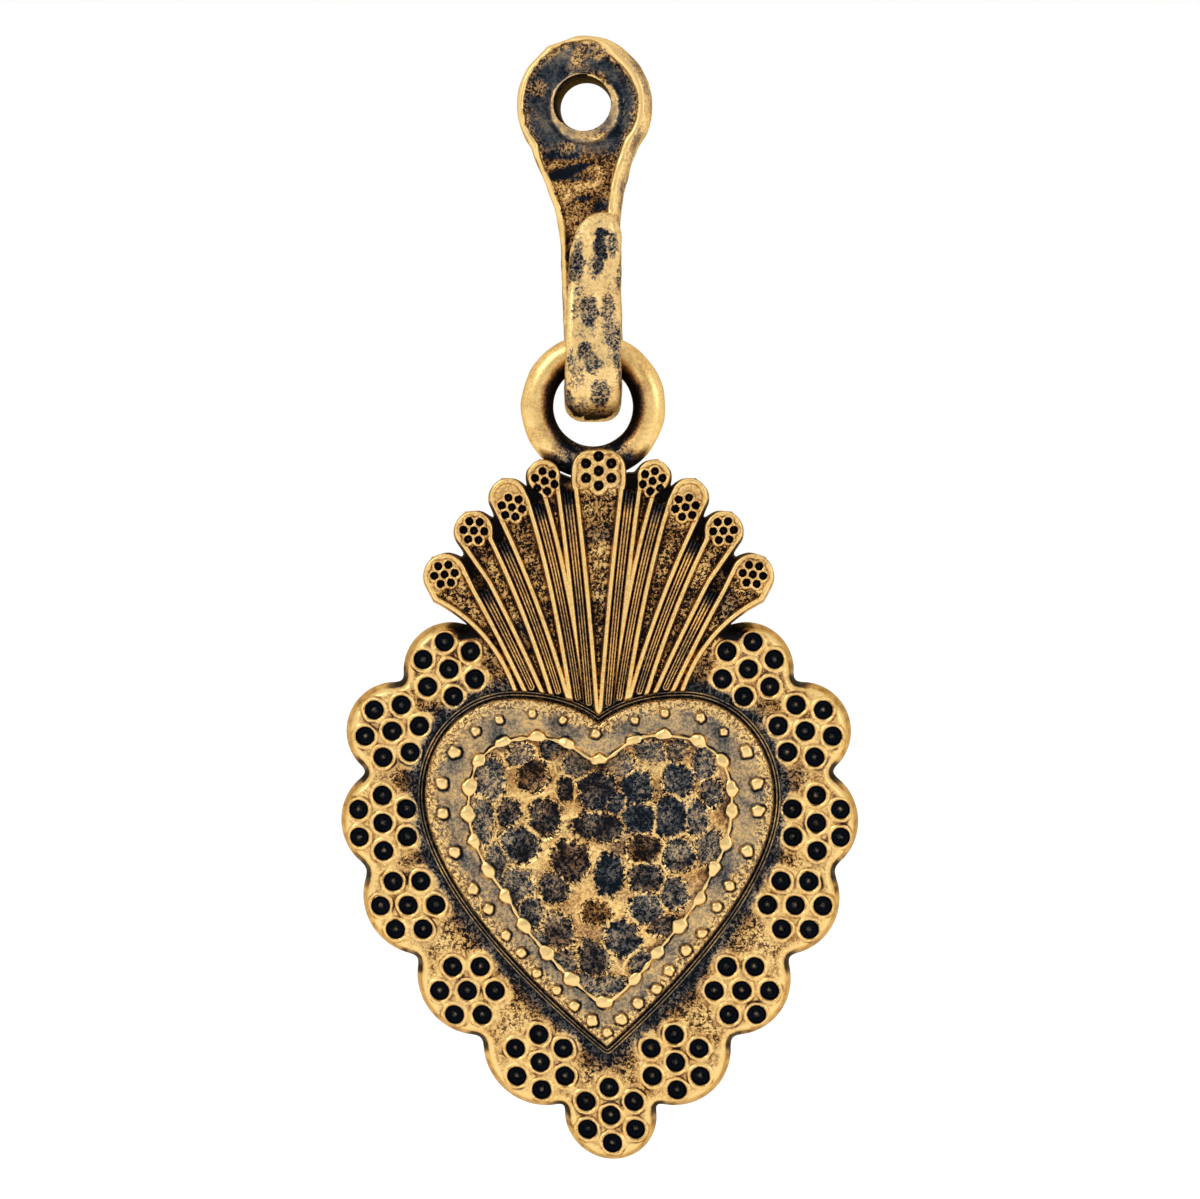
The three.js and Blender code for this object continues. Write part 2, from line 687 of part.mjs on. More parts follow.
// The strap and the hook are one bar of rounded section, swept down, round the axis and back up.
function hookSolid() {
  const stations = [];
  const add = (y, z, x, direction, width, thickness, outerCorner = strapCorner) =>
    stations.push({ y, z, x, direction, width, thickness, outerCorner });
  for (const z of [-neckLength + 0.6, -neckLength - 1, -strapDrop + 1.2]) {
    add(0, z, strapShift(z), -Math.PI / 2, strapWidth, headThickness);
  }
  const bends = 10;
  for (let i = 0; i <= bends; i++) {
    const turn = (i / bends) * Math.PI;
    const ease = Math.sin(turn);
    const entering = i <= bends / 2;
    const edge = entering ? headThickness : tongueThickness;
    const thickness = THREE.MathUtils.lerp(edge, bendThickness, ease);
    const width = THREE.MathUtils.lerp(strapWidth, tongueWidth, i / bends);
    const radius = hookRadius + thickness / 2;
    add(
      axisY + radius * Math.cos(turn),
      -strapDrop - radius * Math.sin(turn),
      hookShift,
      -Math.PI / 2 - turn,
      width,
      thickness,
      THREE.MathUtils.lerp(strapCorner, bendCorner, ease),
    );
  }
  const start = new THREE.Vector2(axisY - hookRadius - tongueThickness / 2, -strapDrop);
  const tipBack = -headThickness / 2 - tongueTipGap;
  const end = new THREE.Vector2(tipBack - tongueTipThickness / 2, tongueTop);
  const rise = end.y - start.y;
  const tongue = new THREE.CubicBezierCurve(
    start,
    new THREE.Vector2(start.x, start.y + rise * 0.4),
    new THREE.Vector2(end.x - 0.1, end.y - rise * 0.35),
    end,
  );
  for (const t of [0.15, 0.3, 0.45, 0.6, 0.75, 0.87, 0.93, 0.97, 0.995]) {
    const p = tongue.getPoint(t);
    const along = tongue.getTangent(t);
    const round = Math.sqrt(Math.max(0.02, 1 - (Math.max(0, t - 0.84) / 0.16) ** 2));
    const width = THREE.MathUtils.lerp(tongueWidth, tongueWidth * 0.92, t) * round;
    const thickness = THREE.MathUtils.lerp(tongueThickness, tongueTipThickness, t);
    const height = thickness * (0.5 + 0.5 * round);
    add(p.x, p.y, hookShift + tongueLean * t, Math.atan2(along.y, along.x), width, height);
  }
  const rings = stations.map((s) => {
    const ring = [];
    for (const [sx, sn] of [[1, 1], [-1, 1], [-1, -1], [1, -1]]) {
      const wanted = sn > 0 ? s.outerCorner : strapCorner;
      const corner = Math.min(wanted, s.width * 0.45, s.thickness * 0.45);
      const from = Math.atan2(sn, sx) - Math.PI / 4;
      for (const step of [0, Math.PI / 4, Math.PI / 2]) {
        const across = sx * (s.width / 2 - corner) + corner * Math.cos(from + step);
        const out = sn * (s.thickness / 2 - corner) + corner * Math.sin(from + step);
        ring.push(
          new THREE.Vector3(
            s.x + across,
            s.y - out * Math.sin(s.direction),
            s.z + out * Math.cos(s.direction),
          ),
        );
      }
    }
    return ring;
  });
  return loft(rings.reverse());
}

// Assembly

function piece(name, geometry, material) {
  const mesh = new THREE.Mesh(geometry, material);
  mesh.name = name;
  return mesh;
}

// The plate was drawn by hand, so all that is on it strays a little towards the tip.
function strayed(solid) {
  const geometry = geometryOf(solid);
  const position = geometry.attributes.position;
  for (let i = 0; i < position.count; i++) {
    const down = Math.max(0, driftStart - position.getY(i)) / (driftStart - heartTip);
    position.setX(i, position.getX(i) + tipDrift * down ** 2);
  }
  geometry.computeVertexNormals();
  return geometry;
}

function torus(wireRadius) {
  const geometry = new THREE.TorusGeometry(ringRadius, wireRadius, 12, 32);
  return solidOf(geometry.translate(-plateShift, 0, ringMiddle));
}

const heartSeat = prism(heartLine(-edgeWire - 2 * solderGap), 0, plateThickness + flameHeight + 1);
const ringNotch = turned(
  [
    [0, -1],
    [ringRadius + ringWire / 2 + solderGap, -1],
    [ringRadius + ringWire / 2 + solderGap, plateThickness + 1],
    [0, plateThickness + 1],
  ],
  36,
  -plateShift,
  0,
);
const ringSeat = torus(ringWire / 2 + solderGap);

const centreSeam = seams[0];
const mirrorSeam = {
  base: [-centreSeam.base[0], centreSeam.base[1]],
  bend: [-centreSeam.bend[0], centreSeam.bend[1]],
  top: [-centreSeam.top[0], centreSeam.top[1]],
};
const centreStations = flameStations(mirrorSeam, centreSeam, centreTip);
const rightStations = tips.map((tip, i) =>
  flameStations(seams[i], seams[i + 1], tip, i + 1 < tips.length),
);

const talisman = new THREE.Group();
talisman.add(piece("bail", geometryOf(headSolid().add(hookSolid())), bright));

const pendant = new THREE.Group();
pendant.rotation.x = Math.PI / 2;
pendant.position.set(hookShift + plateShift, axisY + ringMiddle, -strapDrop - axisOverRing);
talisman.add(pendant);

pendant.add(piece("suspension_ring", geometryOf(torus(ringWire / 2)), bright));
const leftLobes = lobes.map((lobe) => ({ ...lobe, x: -lobe.x, turn: 180 - lobe.turn }));
const allFlames = [centreStations, ...rightStations, ...rightStations.map(swapSides)];
pendant.add(
  piece(
    "scalloped_plate",
    strayed(plateSolid(allFlames, [...leftLobes, lowestLobe, ...lobes.toReversed()], ringNotch)),
    aged,
  ),
);

const seated = (solid) => strayed(solid.subtract(heartSeat).subtract(ringSeat));
pendant.add(
  piece("flame_centre", seated(flameSolid(centreStations, centreTip, centreDimpleScale)), bright),
);
rightStations.forEach((stations, i) => {
  const tip = tips[i];
  const leftTip = { ...tip, x: -tip.x };
  pendant.add(piece(`flame_right_${i + 1}`, seated(flameSolid(stations, tip, 1)), bright));
  pendant.add(
    piece(`flame_left_${i + 1}`, seated(flameSolid(swapSides(stations), leftTip, 1)), bright),
  );
});
seams.slice(0, -1).forEach((seam, i) => {
  const stations = ribStations(seam);
  pendant.add(piece(`rib_right_${i + 1}`, seated(ribSolid(stations)), aged));
  pendant.add(piece(`rib_left_${i + 1}`, seated(ribSolid(swapSides(stations))), aged));
});

pendant.add(piece("heart_edge_wire", strayed(edgeWireSolid()), aged));
pendant.add(piece("heart_border", strayed(borderSolid()), aged));
pendant.add(piece("heart_beaded_wire", strayed(beadedWireSolid()), bright));
pendant.add(piece("heart_dome", strayed(domeSolid()), blackened));

export default talisman;
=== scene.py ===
import math

import bmesh
import bpy
from mathutils import Matrix, Vector, geometry, kdtree, noise


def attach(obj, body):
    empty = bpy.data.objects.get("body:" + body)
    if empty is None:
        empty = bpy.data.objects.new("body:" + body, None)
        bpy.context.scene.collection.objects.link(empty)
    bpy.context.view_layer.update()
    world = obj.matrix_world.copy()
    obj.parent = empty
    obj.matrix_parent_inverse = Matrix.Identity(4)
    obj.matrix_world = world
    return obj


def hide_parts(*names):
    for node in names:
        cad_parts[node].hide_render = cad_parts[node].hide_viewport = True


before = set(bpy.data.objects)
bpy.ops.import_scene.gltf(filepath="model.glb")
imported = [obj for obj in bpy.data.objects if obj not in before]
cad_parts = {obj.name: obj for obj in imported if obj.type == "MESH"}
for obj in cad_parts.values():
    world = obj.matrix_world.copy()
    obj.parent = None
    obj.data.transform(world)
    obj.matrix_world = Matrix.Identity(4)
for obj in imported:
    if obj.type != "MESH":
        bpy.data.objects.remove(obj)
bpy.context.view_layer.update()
scene = bpy.context.scene
scene.view_settings.view_transform = "Standard"

# The view: square on to the front, from 200 mm away, with the talisman hanging in the middle. The
# frame is 60 mm wide at the talisman.
view_distance, view_width, sensor_width, talisman_front = 200.0, 60.0, 36.0, 1.6


def add_object(name, data):
    made = bpy.data.objects.new(name, data)
    scene.collection.objects.link(made)
    return made


view_data = bpy.data.cameras.new("view")
view_data.lens = sensor_width * view_distance / view_width
view_data.sensor_width = sensor_width
view_data.clip_start = 0.001
view = add_object("view", view_data)
view.location = (0.000765, -(view_distance + talisman_front) / 1000, -0.024675)
view.rotation_euler = (math.pi / 2, 0, 0)
scene.camera = view

# The room: a white tent that is a little darker where the viewer stands, a soft lamp above to the
# left and a weaker one to the right. The floor is white paper below the tip.
lamps_aim, floor_z, floor_half = Vector((0.0, 0.0, -0.026)), -0.058, 3.0


def plug(tree, node, sockets):
    """Gives each socket its constant, or a link where it gets another node's output."""
    for socket, value in sockets.items():
        if isinstance(value, bpy.types.NodeSocket):
            tree.links.new(value, node.inputs[socket])
        else:
            node.inputs[socket].default_value = value
    return node.outputs


def add_node(tree, kind, sockets={}, **settings):
    node = tree.nodes.new(f"ShaderNode{kind}")
    for setting, value in settings.items():
        setattr(node, setting, value)
    return plug(tree, node, sockets)


def mesh_object(name, bm):
    mesh = bpy.data.meshes.new(name)
    bm.to_mesh(mesh)
    bm.free()
    return add_object(name, mesh)


def new_material(name):
    material = bpy.data.materials.new(name)
    material.use_nodes = True
    return material


room = bpy.data.worlds.new("tent")
scene.world = room
room.use_nodes = True
tent = room.node_tree
heading = add_node(tent, "TexCoord")["Generated"]
behind = add_node(tent, "SeparateXYZ", {0: heading})["Y"]
white = add_node(tent, "MapRange", {"Value": behind, "From Min": -0.98, "From Max": -0.25,
                                    "To Min": 0.72, "To Max": 1.0},
                 interpolation_type="SMOOTHSTEP")[0]
plug(tent, tent.nodes["Background"], {"Color": white})

for name, place, size, power in (
    ("lamp_left", (-0.16, -0.16, 0.16), 0.12, 0.2),
    ("lamp_right", (0.2, -0.14, 0.05), 0.1, 0.07),
):
    lamp_data = bpy.data.lights.new(name, "AREA")
    lamp_data.size = size
    lamp_data.energy = power
    lamp = add_object(name, lamp_data)
    lamp.location = place
    lamp.rotation_euler = (lamps_aim - lamp.location).to_track_quat("-Z", "Y").to_euler()

bm = bmesh.new()
bmesh.ops.create_grid(bm, x_segments=1, y_segments=1, size=floor_half)
bmesh.ops.translate(bm, verts=bm.verts, vec=(0, 0, floor_z))
floor = mesh_object("floor", bm)
paper = new_material("white_paper")
tree = paper.node_tree
seen = add_node(tree, "LightPath")
either = add_node(tree, "Math", {0: seen["Is Camera Ray"], 1: seen["Is Glossy Ray"]},
                  operation="MAXIMUM")[0]
lift = add_node(tree, "Math", {0: either, 1: 0.3}, operation="MULTIPLY")[0]
plug(tree, tree.nodes["Principled BSDF"],
     {"Base Color": (0.82, 0.82, 0.82, 1), "Roughness": 0.9, "Specular IOR Level": 0.0,
      "Emission Color": (1, 1, 1, 1), "Emission Strength": lift})
floor.data.materials.append(paper)

# Bail: one forged bar of bronze. A round flat head with the eye, a strap that runs down behind the
# ring, a heavy bend and a tongue closed up in front. Its face is sunk inside a raised rim, it is
# hammered all over, and dark patina stays in the hollows. The wall of the eye's bore and the
# underside of the bend are darkened as painted shade.
MM = 0.001
eye_hole, eye_radius, eye_rise = 1.35, 3.38, 0.2
head_thickness, strap_drop, hook_shift, hook_radius = 1.5, 12.5, 0.42, 1.1794
strap_half, tongue_half = 1.45, 1.35
bend_thickness, tongue_thickness, tip_thickness = 2.1, 1.5, 1.1
tongue_top, tip_gap, tongue_lean = -5.3, 0.15, 0.15
axis_y = -head_thickness / 2 - hook_radius
front_columns, side_columns, back_columns = 76, 12, 64
head_rows, neck_rows, strap_rows, bend_rows, tongue_rows = 75, 71, 60, 90, 140
head_top, head_foot, neck_foot, crown, face_sunk = 0.6, 128, -7.2, 0.09, 0.24

# Where the hammer left dark marks on the tongue: middle (x, z), half sizes, how dark.
tongue_marks = [
    (0.84, -6.4, 0.3, 0.22, 0.9), (0.81, -7.17, 0.32, 0.65, 1.1), (0.69, -8.05, 0.22, 0.4, 0.8),
    (-0.33, -8.05, 0.3, 0.6, 0.5), (1.4, -7.0, 0.26, 0.6, 0.5), (0.17, -10.4, 0.44, 0.72, 0.8),
    (1.17, -10.2, 0.36, 0.6, 0.65), (1.27, -11.45, 0.36, 0.72, 0.6), (0.0, -12.45, 0.38, 0.45, 0.9),
    (0.47, -13.05, 0.44, 0.5, 0.8), (0.77, -14.5, 0.42, 0.65, 0.9), (-0.48, -10.4, 0.18, 0.45, 0.5),
    (1.8, -13.35, 0.2, 0.9, 0.5), (-0.6, -12.9, 0.16, 0.6, 0.4), (1.75, -8.6, 0.16, 0.7, 0.35),
]


def lerp(a, b, t):
    return a + (b - a) * t


def smooth(a, b, x):
    t = min(1.0, max(0.0, (x - a) / (b - a)))
    return t * t * (3 - 2 * t)


def bezier(points, t):
    while len(points) > 1:
        points = [a.lerp(b, t) for a, b in zip(points, points[1:])]
    return points[0]


def ripple(place, scale=1.0, shift=(0, 0, 0)):
    """Soft noise from about -1 to 1 at a place, and finer where the scale is larger."""
    return noise.noise(Vector(place).to_3d() * scale + Vector(shift))


def resize(bm, share):
    bmesh.ops.scale(bm, verts=bm.verts, vec=(share, share, share))


def sheet(columns, rows, point, weld):
    """A sheet whose corners lie where point(column, row) says. Those that touch become one."""
    bm = bmesh.new()
    bmesh.ops.create_grid(bm, x_segments=columns, y_segments=rows, size=0.5)
    for vert in bm.verts:
        vert.co = point(round((vert.co.x + 0.5) * columns), round((vert.co.y + 0.5) * rows))
    bmesh.ops.remove_doubles(bm, verts=bm.verts, dist=weld)
    return bm


def hammered(place, size, seed):
    """How deep the nearest hammer blow is here, from 0 at its rim to 1 in its middle."""
    at = place / size + Vector((seed, seed * 1.7, seed * 0.3))
    near = noise.voronoi(at)[0]
    return max(0.0, 1 - (near[0] / 0.55) ** 2) * smooth(0.02, 0.25, near[1] - near[0])


def rub(bm, paint, rounds=8, gain=3.0):
    """Patina, polish and painted shade: paint gives how bare the metal is, darkened in some places
    as painted shade, how blue its patina and how gritty at a vertex, and whatever stands proud of
    the surface round it is rubbed barer."""
    wear_and_shade = bm.verts.layers.float.new("wear_and_shade")
    cool = bm.verts.layers.float.new("cool")
    grit = bm.verts.layers.float.new("grit")
    bm.normal_update()
    eased = bm.copy()
    for _ in range(rounds):
        bmesh.ops.smooth_vert(eased, verts=eased.verts, factor=0.5,
                              use_axis_x=True, use_axis_y=True, use_axis_z=True)
    for vert, soft in zip(bm.verts, eased.verts):
        bareness_and_shade, vert[cool], vert[grit] = paint(vert)
        vert[wear_and_shade] = bareness_and_shade + gain * (vert.co - soft.co).dot(vert.normal)
    eased.free()


def bronze(name, fleck=0.14, twist=0.8, pits=0.012):
    """Bronze, from patina to bare metal by the mesh's wear and painted shade, broken up by flecks
    of a size and twist and by blotches, with fine pits."""
    material = new_material(name)
    tree = material.node_tree
    coords = add_node(tree, "TexCoord")

    def attribute(name):
        return add_node(tree, "Attribute", attribute_name=name)["Fac"]

    def maths(kind, a, b):
        return add_node(tree, "Math", {0: a, 1: b}, operation=kind)[0]

    def cloud(size, detail, reach, swirl=0.0, spread=0.2):
        """Noise from -reach to reach, with spots of about a size in millimetres."""
        texture = add_node(tree, "TexNoise", {
            "Vector": coords["Object"], "Scale": 1 / (size * MM), "Detail": detail,
            "Roughness": 0.65, "Distortion": swirl})
        return add_node(tree, "MapRange", {
            "Value": texture["Fac"], "From Min": 0.5 - spread, "From Max": 0.5 + spread,
            "To Min": -reach, "To Max": reach})[0]

    def ramp(*colours):
        node = tree.nodes.new("ShaderNodeValToRGB")
        for i, (at, colour) in enumerate(zip(wear_and_shade_stops, colours)):
            stop = node.color_ramp.elements[i] if i < 2 else node.color_ramp.elements.new(at)
            stop.position = at
            stop.color = (*colour, 1)
        return plug(tree, node, {0: total})[0]

    fine = maths("MULTIPLY", cloud(fleck, 4, 0.3, twist, 0.055), attribute("grit"))
    broad = cloud(0.9, 4, 0.12)
    total = maths("MULTIPLY", maths("ADD", attribute("wear_and_shade"), maths("ADD", fine, broad)), 0.85)
    wear_and_shade_stops = 0.0, 1.0, 0.21, 0.43, 0.64, 0.85
    warm = ramp((0.009, 0.007, 0.007), (0.88, 0.61, 0.24), (0.05, 0.027, 0.013),
                (0.24, 0.107, 0.034), (0.5, 0.27, 0.09), (0.75, 0.47, 0.16))
    blue = ramp((0.007, 0.01, 0.015), (0.88, 0.61, 0.26), (0.038, 0.048, 0.06),
                (0.16, 0.135, 0.105), (0.42, 0.3, 0.17), (0.74, 0.48, 0.19))
    tint = add_node(tree, "Mix", {
        "Factor": maths("ADD", attribute("cool"), cloud(1.4, 2, 0.25)), "A": warm, "B": blue},
        data_type="RGBA")["Result"]
    gloss = {"Value": total, "From Max": 0.8, "To Min": 0.62, "To Max": 0.3}
    bump = {"Distance": pits * MM, "Height": maths("ADD", fine, broad)}
    plug(tree, tree.nodes["Principled BSDF"],
         {"Metallic": 1.0, "Specular Tint": (0.72, 0.56, 0.36, 1), "Base Color": tint,
          "Roughness": add_node(tree, "MapRange", gloss)[0],
          "Normal": add_node(tree, "Bump", bump)[0]})
    return material


def add_piece(bm, name, material, body, nodes):
    for face in bm.faces:
        face.smooth = True
    piece = mesh_object(name, bm)
    piece.data.materials.append(material)
    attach(piece, body)
    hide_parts(*nodes)


def strap_shift(z):
    """How far right the strap has drifted at a height."""
    return hook_shift * smooth(0, strap_drop, -z)


neck_start = math.radians(90 - head_foot)
neck_top = Vector((eye_radius * math.cos(neck_start), eye_rise + eye_radius * math.sin(neck_start)))


def neck_edge(side):
    """The neck's edge on one side, from the head to the strap."""
    last = strap_shift(neck_foot) + side * strap_half
    waist = 0.78 if side > 0 else 0.86
    ends = [(side * neck_top.x, neck_top.y), (side * neck_top.x * waist, neck_top.y - 1.5),
            (last, neck_foot + 2.5), (last, neck_foot)]
    return [bezier([Vector(end) for end in ends], i / 60) for i in range(61)]


def edge_at(line, z):
    """Where an edge is at a height."""
    for a, b in zip(line, line[1:]):
        if b.y <= z <= a.y:
            return lerp(a.x, b.x, (a.y - z) / (a.y - b.y))
    return line[-1].x


def finder(places):
    """A tree that finds the nearest of the places."""
    tree = kdtree.KDTree(len(places))
    for i, place in enumerate(places):
        tree.insert((place[0], place[1], 0), i)
    tree.balance()
    return tree


def head_reach(x, z):
    """How far in from the bar's left and right edges a place on its face is."""
    return [tree.find((x, z, 0))[2] for tree in bar_edges]


def head_outline(angle):
    """Half the head's width at an angle from its top, and the height there. It is a touch fuller
    than a circle at the top."""
    fuller = crown * max(0.0, math.cos(angle))
    return eye_radius * math.sin(angle), eye_rise + (eye_radius + fuller) * math.cos(angle)


def side_band(z):
    """How wide the flat bright band down the right side of the head and neck is."""
    return 0.42 * (1 - smooth(4.5, 9.5, -z)) * (1 - smooth(2.4, 3.5, z))


# Stations down the bar: middle (x, y, z), the way that the bar runs in y and z, half its width, its
# thickness, and how far it is round the bend and up the tongue.
stations = []
for i in range(head_rows + 1):
    half, z = head_outline(math.radians(lerp(head_top, head_foot, i / head_rows)))
    stations.append((0, 0, z, 0, half, head_thickness, 0))
necks = neck_edge(-1), neck_edge(1)
bar_edges = []
for side, neck in zip((-1, 1), necks):
    round_head = [head_outline(math.radians(head_foot) * i / 300) for i in range(301)]
    line = [(side * half, z) for half, z in round_head]
    for a, b in zip(neck, neck[1:]):
        line += [a.lerp(b, i / 4) for i in range(4)]
    for i in range(240):
        z = lerp(neck_foot, -strap_drop - 2, i / 239)
        line.append((strap_shift(z) + side * strap_half, z))
    bar_edges.append(finder(line))
for i in range(1, neck_rows + 1):
    z = lerp(neck_top.y, neck_foot, i / neck_rows)
    left, right = edge_at(necks[0], z), edge_at(necks[1], z)
    stations.append(((left + right) / 2, 0, z, 0, (right - left) / 2, head_thickness, 0))
for i in range(1, strap_rows + 1):
    z = lerp(neck_foot, -strap_drop, i / strap_rows)
    stations.append((strap_shift(z), 0, z, 0, strap_half, head_thickness, 0))
for i in range(1, bend_rows + 1):
    turn = i / bend_rows * math.pi
    edge = head_thickness if i <= bend_rows / 2 else tongue_thickness
    thick = lerp(edge, bend_thickness, math.sin(turn))
    radius = hook_radius + thick / 2
    half = lerp(strap_half, tongue_half, i / bend_rows)
    y, z = axis_y + radius * math.cos(turn), -strap_drop - radius * math.sin(turn)
    stations.append((hook_shift, y, z, turn, half, thick, i / bend_rows))
start = Vector((axis_y - hook_radius - tongue_thickness / 2, -strap_drop))
end = Vector((-head_thickness / 2 - tip_gap - tip_thickness / 2, tongue_top))
rise = end.y - start.y
way_up = [start, Vector((start.x, start.y + rise * 0.4)),
          Vector((end.x - 0.1, end.y - rise * 0.35)), end]
for i in range(1, tongue_rows + 1):
    t = 1 - (1 - i / tongue_rows) ** 1.25
    here, ahead = bezier(way_up, t), bezier(way_up, t + 0.001) - bezier(way_up, t - 0.001)
    blunt = math.sqrt(max(0.0004, 1 - (max(0, t - 0.84) / 0.16) ** 2))
    taper = 0.12 * smooth(0.6, 0.95, t)
    half = tongue_half * (lerp(1, 0.92, t) - taper) * blunt
    thick = lerp(tongue_thickness, tip_thickness, t) * (0.5 + 0.5 * blunt)
    turn = math.pi + math.atan2(ahead.x, ahead.y)
    middle = hook_shift + tongue_lean * t + tongue_half * (taper + 0.17 * (1 - blunt))
    stations.append((middle, here.x, here.y, turn, half, thick, 1 + t))

runs = [(Vector(a[:3]) - Vector(b[:3])).length for a, b in zip(stations, stations[1:])]
last_station = len(stations) - 1


def bar_point(column, row):
    x, y, z, turn, half, thick, bend = stations[row]
    before, after = max(0, row - 1), min(last_station, row + 1)
    slope = (stations[after][4] - stations[before][4]) / max(1e-6, sum(runs[before:after]))
    corner = min(0.36, thick * 0.42)
    heel = lerp(corner, 0.9, math.sin(turn)) if 0 < bend <= 1 else corner
    flat = side_band(z) if bend == 0 else 0
    if column <= front_columns:
        across = math.sin((column / front_columns - 0.5) * math.pi)
        chamfer = flat * smooth(0.0, 0.5, across)
        reach = half * (1 - abs(across)) / math.sqrt(1 + slope * slope)
        out = thick / 2 - corner + math.sqrt(max(0, corner**2 - max(0, corner - reach) ** 2))
        if across > 0 and reach < chamfer:
            out -= 0.75 * (chamfer - reach)
        if bend == 0:
            left, right = head_reach(x + half * across, z)
            inner = min(left, right - flat)
            off_eye = math.hypot(half * across, z) - eye_hole
            out -= face_sunk * (smooth(0.16, 0.4, inner) * smooth(0.3, 0.52, off_eye))
        across *= half
    elif column <= front_columns + side_columns:
        down = (column - front_columns) / side_columns
        across, out = half, lerp(thick / 2 - corner - 0.75 * flat, heel - thick / 2, down)
    elif column <= front_columns + side_columns + back_columns:
        share = math.sin((0.5 - (column - front_columns - side_columns) / back_columns) * math.pi)
        reach = half * (1 - abs(share))
        out = -(thick / 2 - heel + math.sqrt(max(0, heel**2 - max(0, heel - reach) ** 2)))
        across = share * half
    else:
        up = (column - front_columns - side_columns - back_columns) / side_columns
        across, out = -half, lerp(heel - thick / 2, thick / 2 - corner, up)
    return Vector((x + across, y - out * math.cos(turn), z + out * math.sin(turn)))


bm = sheet(front_columns + 2 * side_columns + back_columns, last_station, bar_point, weld=0.003)
bmesh.ops.holes_fill(bm, edges=bm.edges, sides=400)
bmesh.ops.recalc_face_normals(bm, faces=bm.faces)
bm.normal_update()
moves = []
for vert in bm.verts:
    blow = hammered(Vector((vert.co.x, vert.co.y, vert.co.z * 0.8)), 1.35, 4.0)
    moves.append(vert.normal * (0.03 + 0.04 * ripple(vert.co, 1.3) - 0.07 * blow))
for vert, move in zip(bm.verts, moves):
    vert.co += move
resize(bm, MM)
bar = mesh_object("bar", bm)

# The eye is drilled a little askew. The bit's profile: distance from its axis, depth.
drill = bmesh.new()
drill_lean, drill_x, drill_z = {"Z": -6, "X": -5}, 0.02, 0.17
bit = [(0, -1.2), (1.72, -1.2), (1.49, -0.82), (1.39, -0.7), (1.35, -0.5), (1.3, 0.5), (1.34, 0.68),
       (1.45, 0.8), (1.7, 1.2), (0, 1.2)]
corners = [drill.verts.new(Vector((x, y, 0)) * MM) for x, y in bit]
lines = [drill.edges.new(pair) for pair in zip(corners, corners[1:])]
bmesh.ops.spin(drill, geom=corners + lines, axis=(0, 1, 0), cent=(0, 0, 0), angle=2 * math.pi,
               steps=96, use_merge=True)
bmesh.ops.remove_doubles(drill, verts=drill.verts, dist=1e-7)
bmesh.ops.recalc_face_normals(drill, faces=drill.faces)
for axis, lean in drill_lean.items():
    turned = Matrix.Rotation(math.radians(lean), 3, axis)
    bmesh.ops.rotate(drill, verts=drill.verts, matrix=turned)
bmesh.ops.translate(drill, verts=drill.verts, vec=(drill_x * MM, 0, drill_z * MM))
drill_tool = mesh_object("drill", drill)
cut = bar.modifiers.new("eye", "BOOLEAN")
cut.operation, cut.solver, cut.object = "DIFFERENCE", "EXACT", drill_tool
bpy.context.view_layer.update()
bm = bmesh.new()
bm.from_object(bar, bpy.context.evaluated_depsgraph_get())
bpy.data.objects.remove(bar)
bpy.data.objects.remove(drill_tool)
resize(bm, 1000)


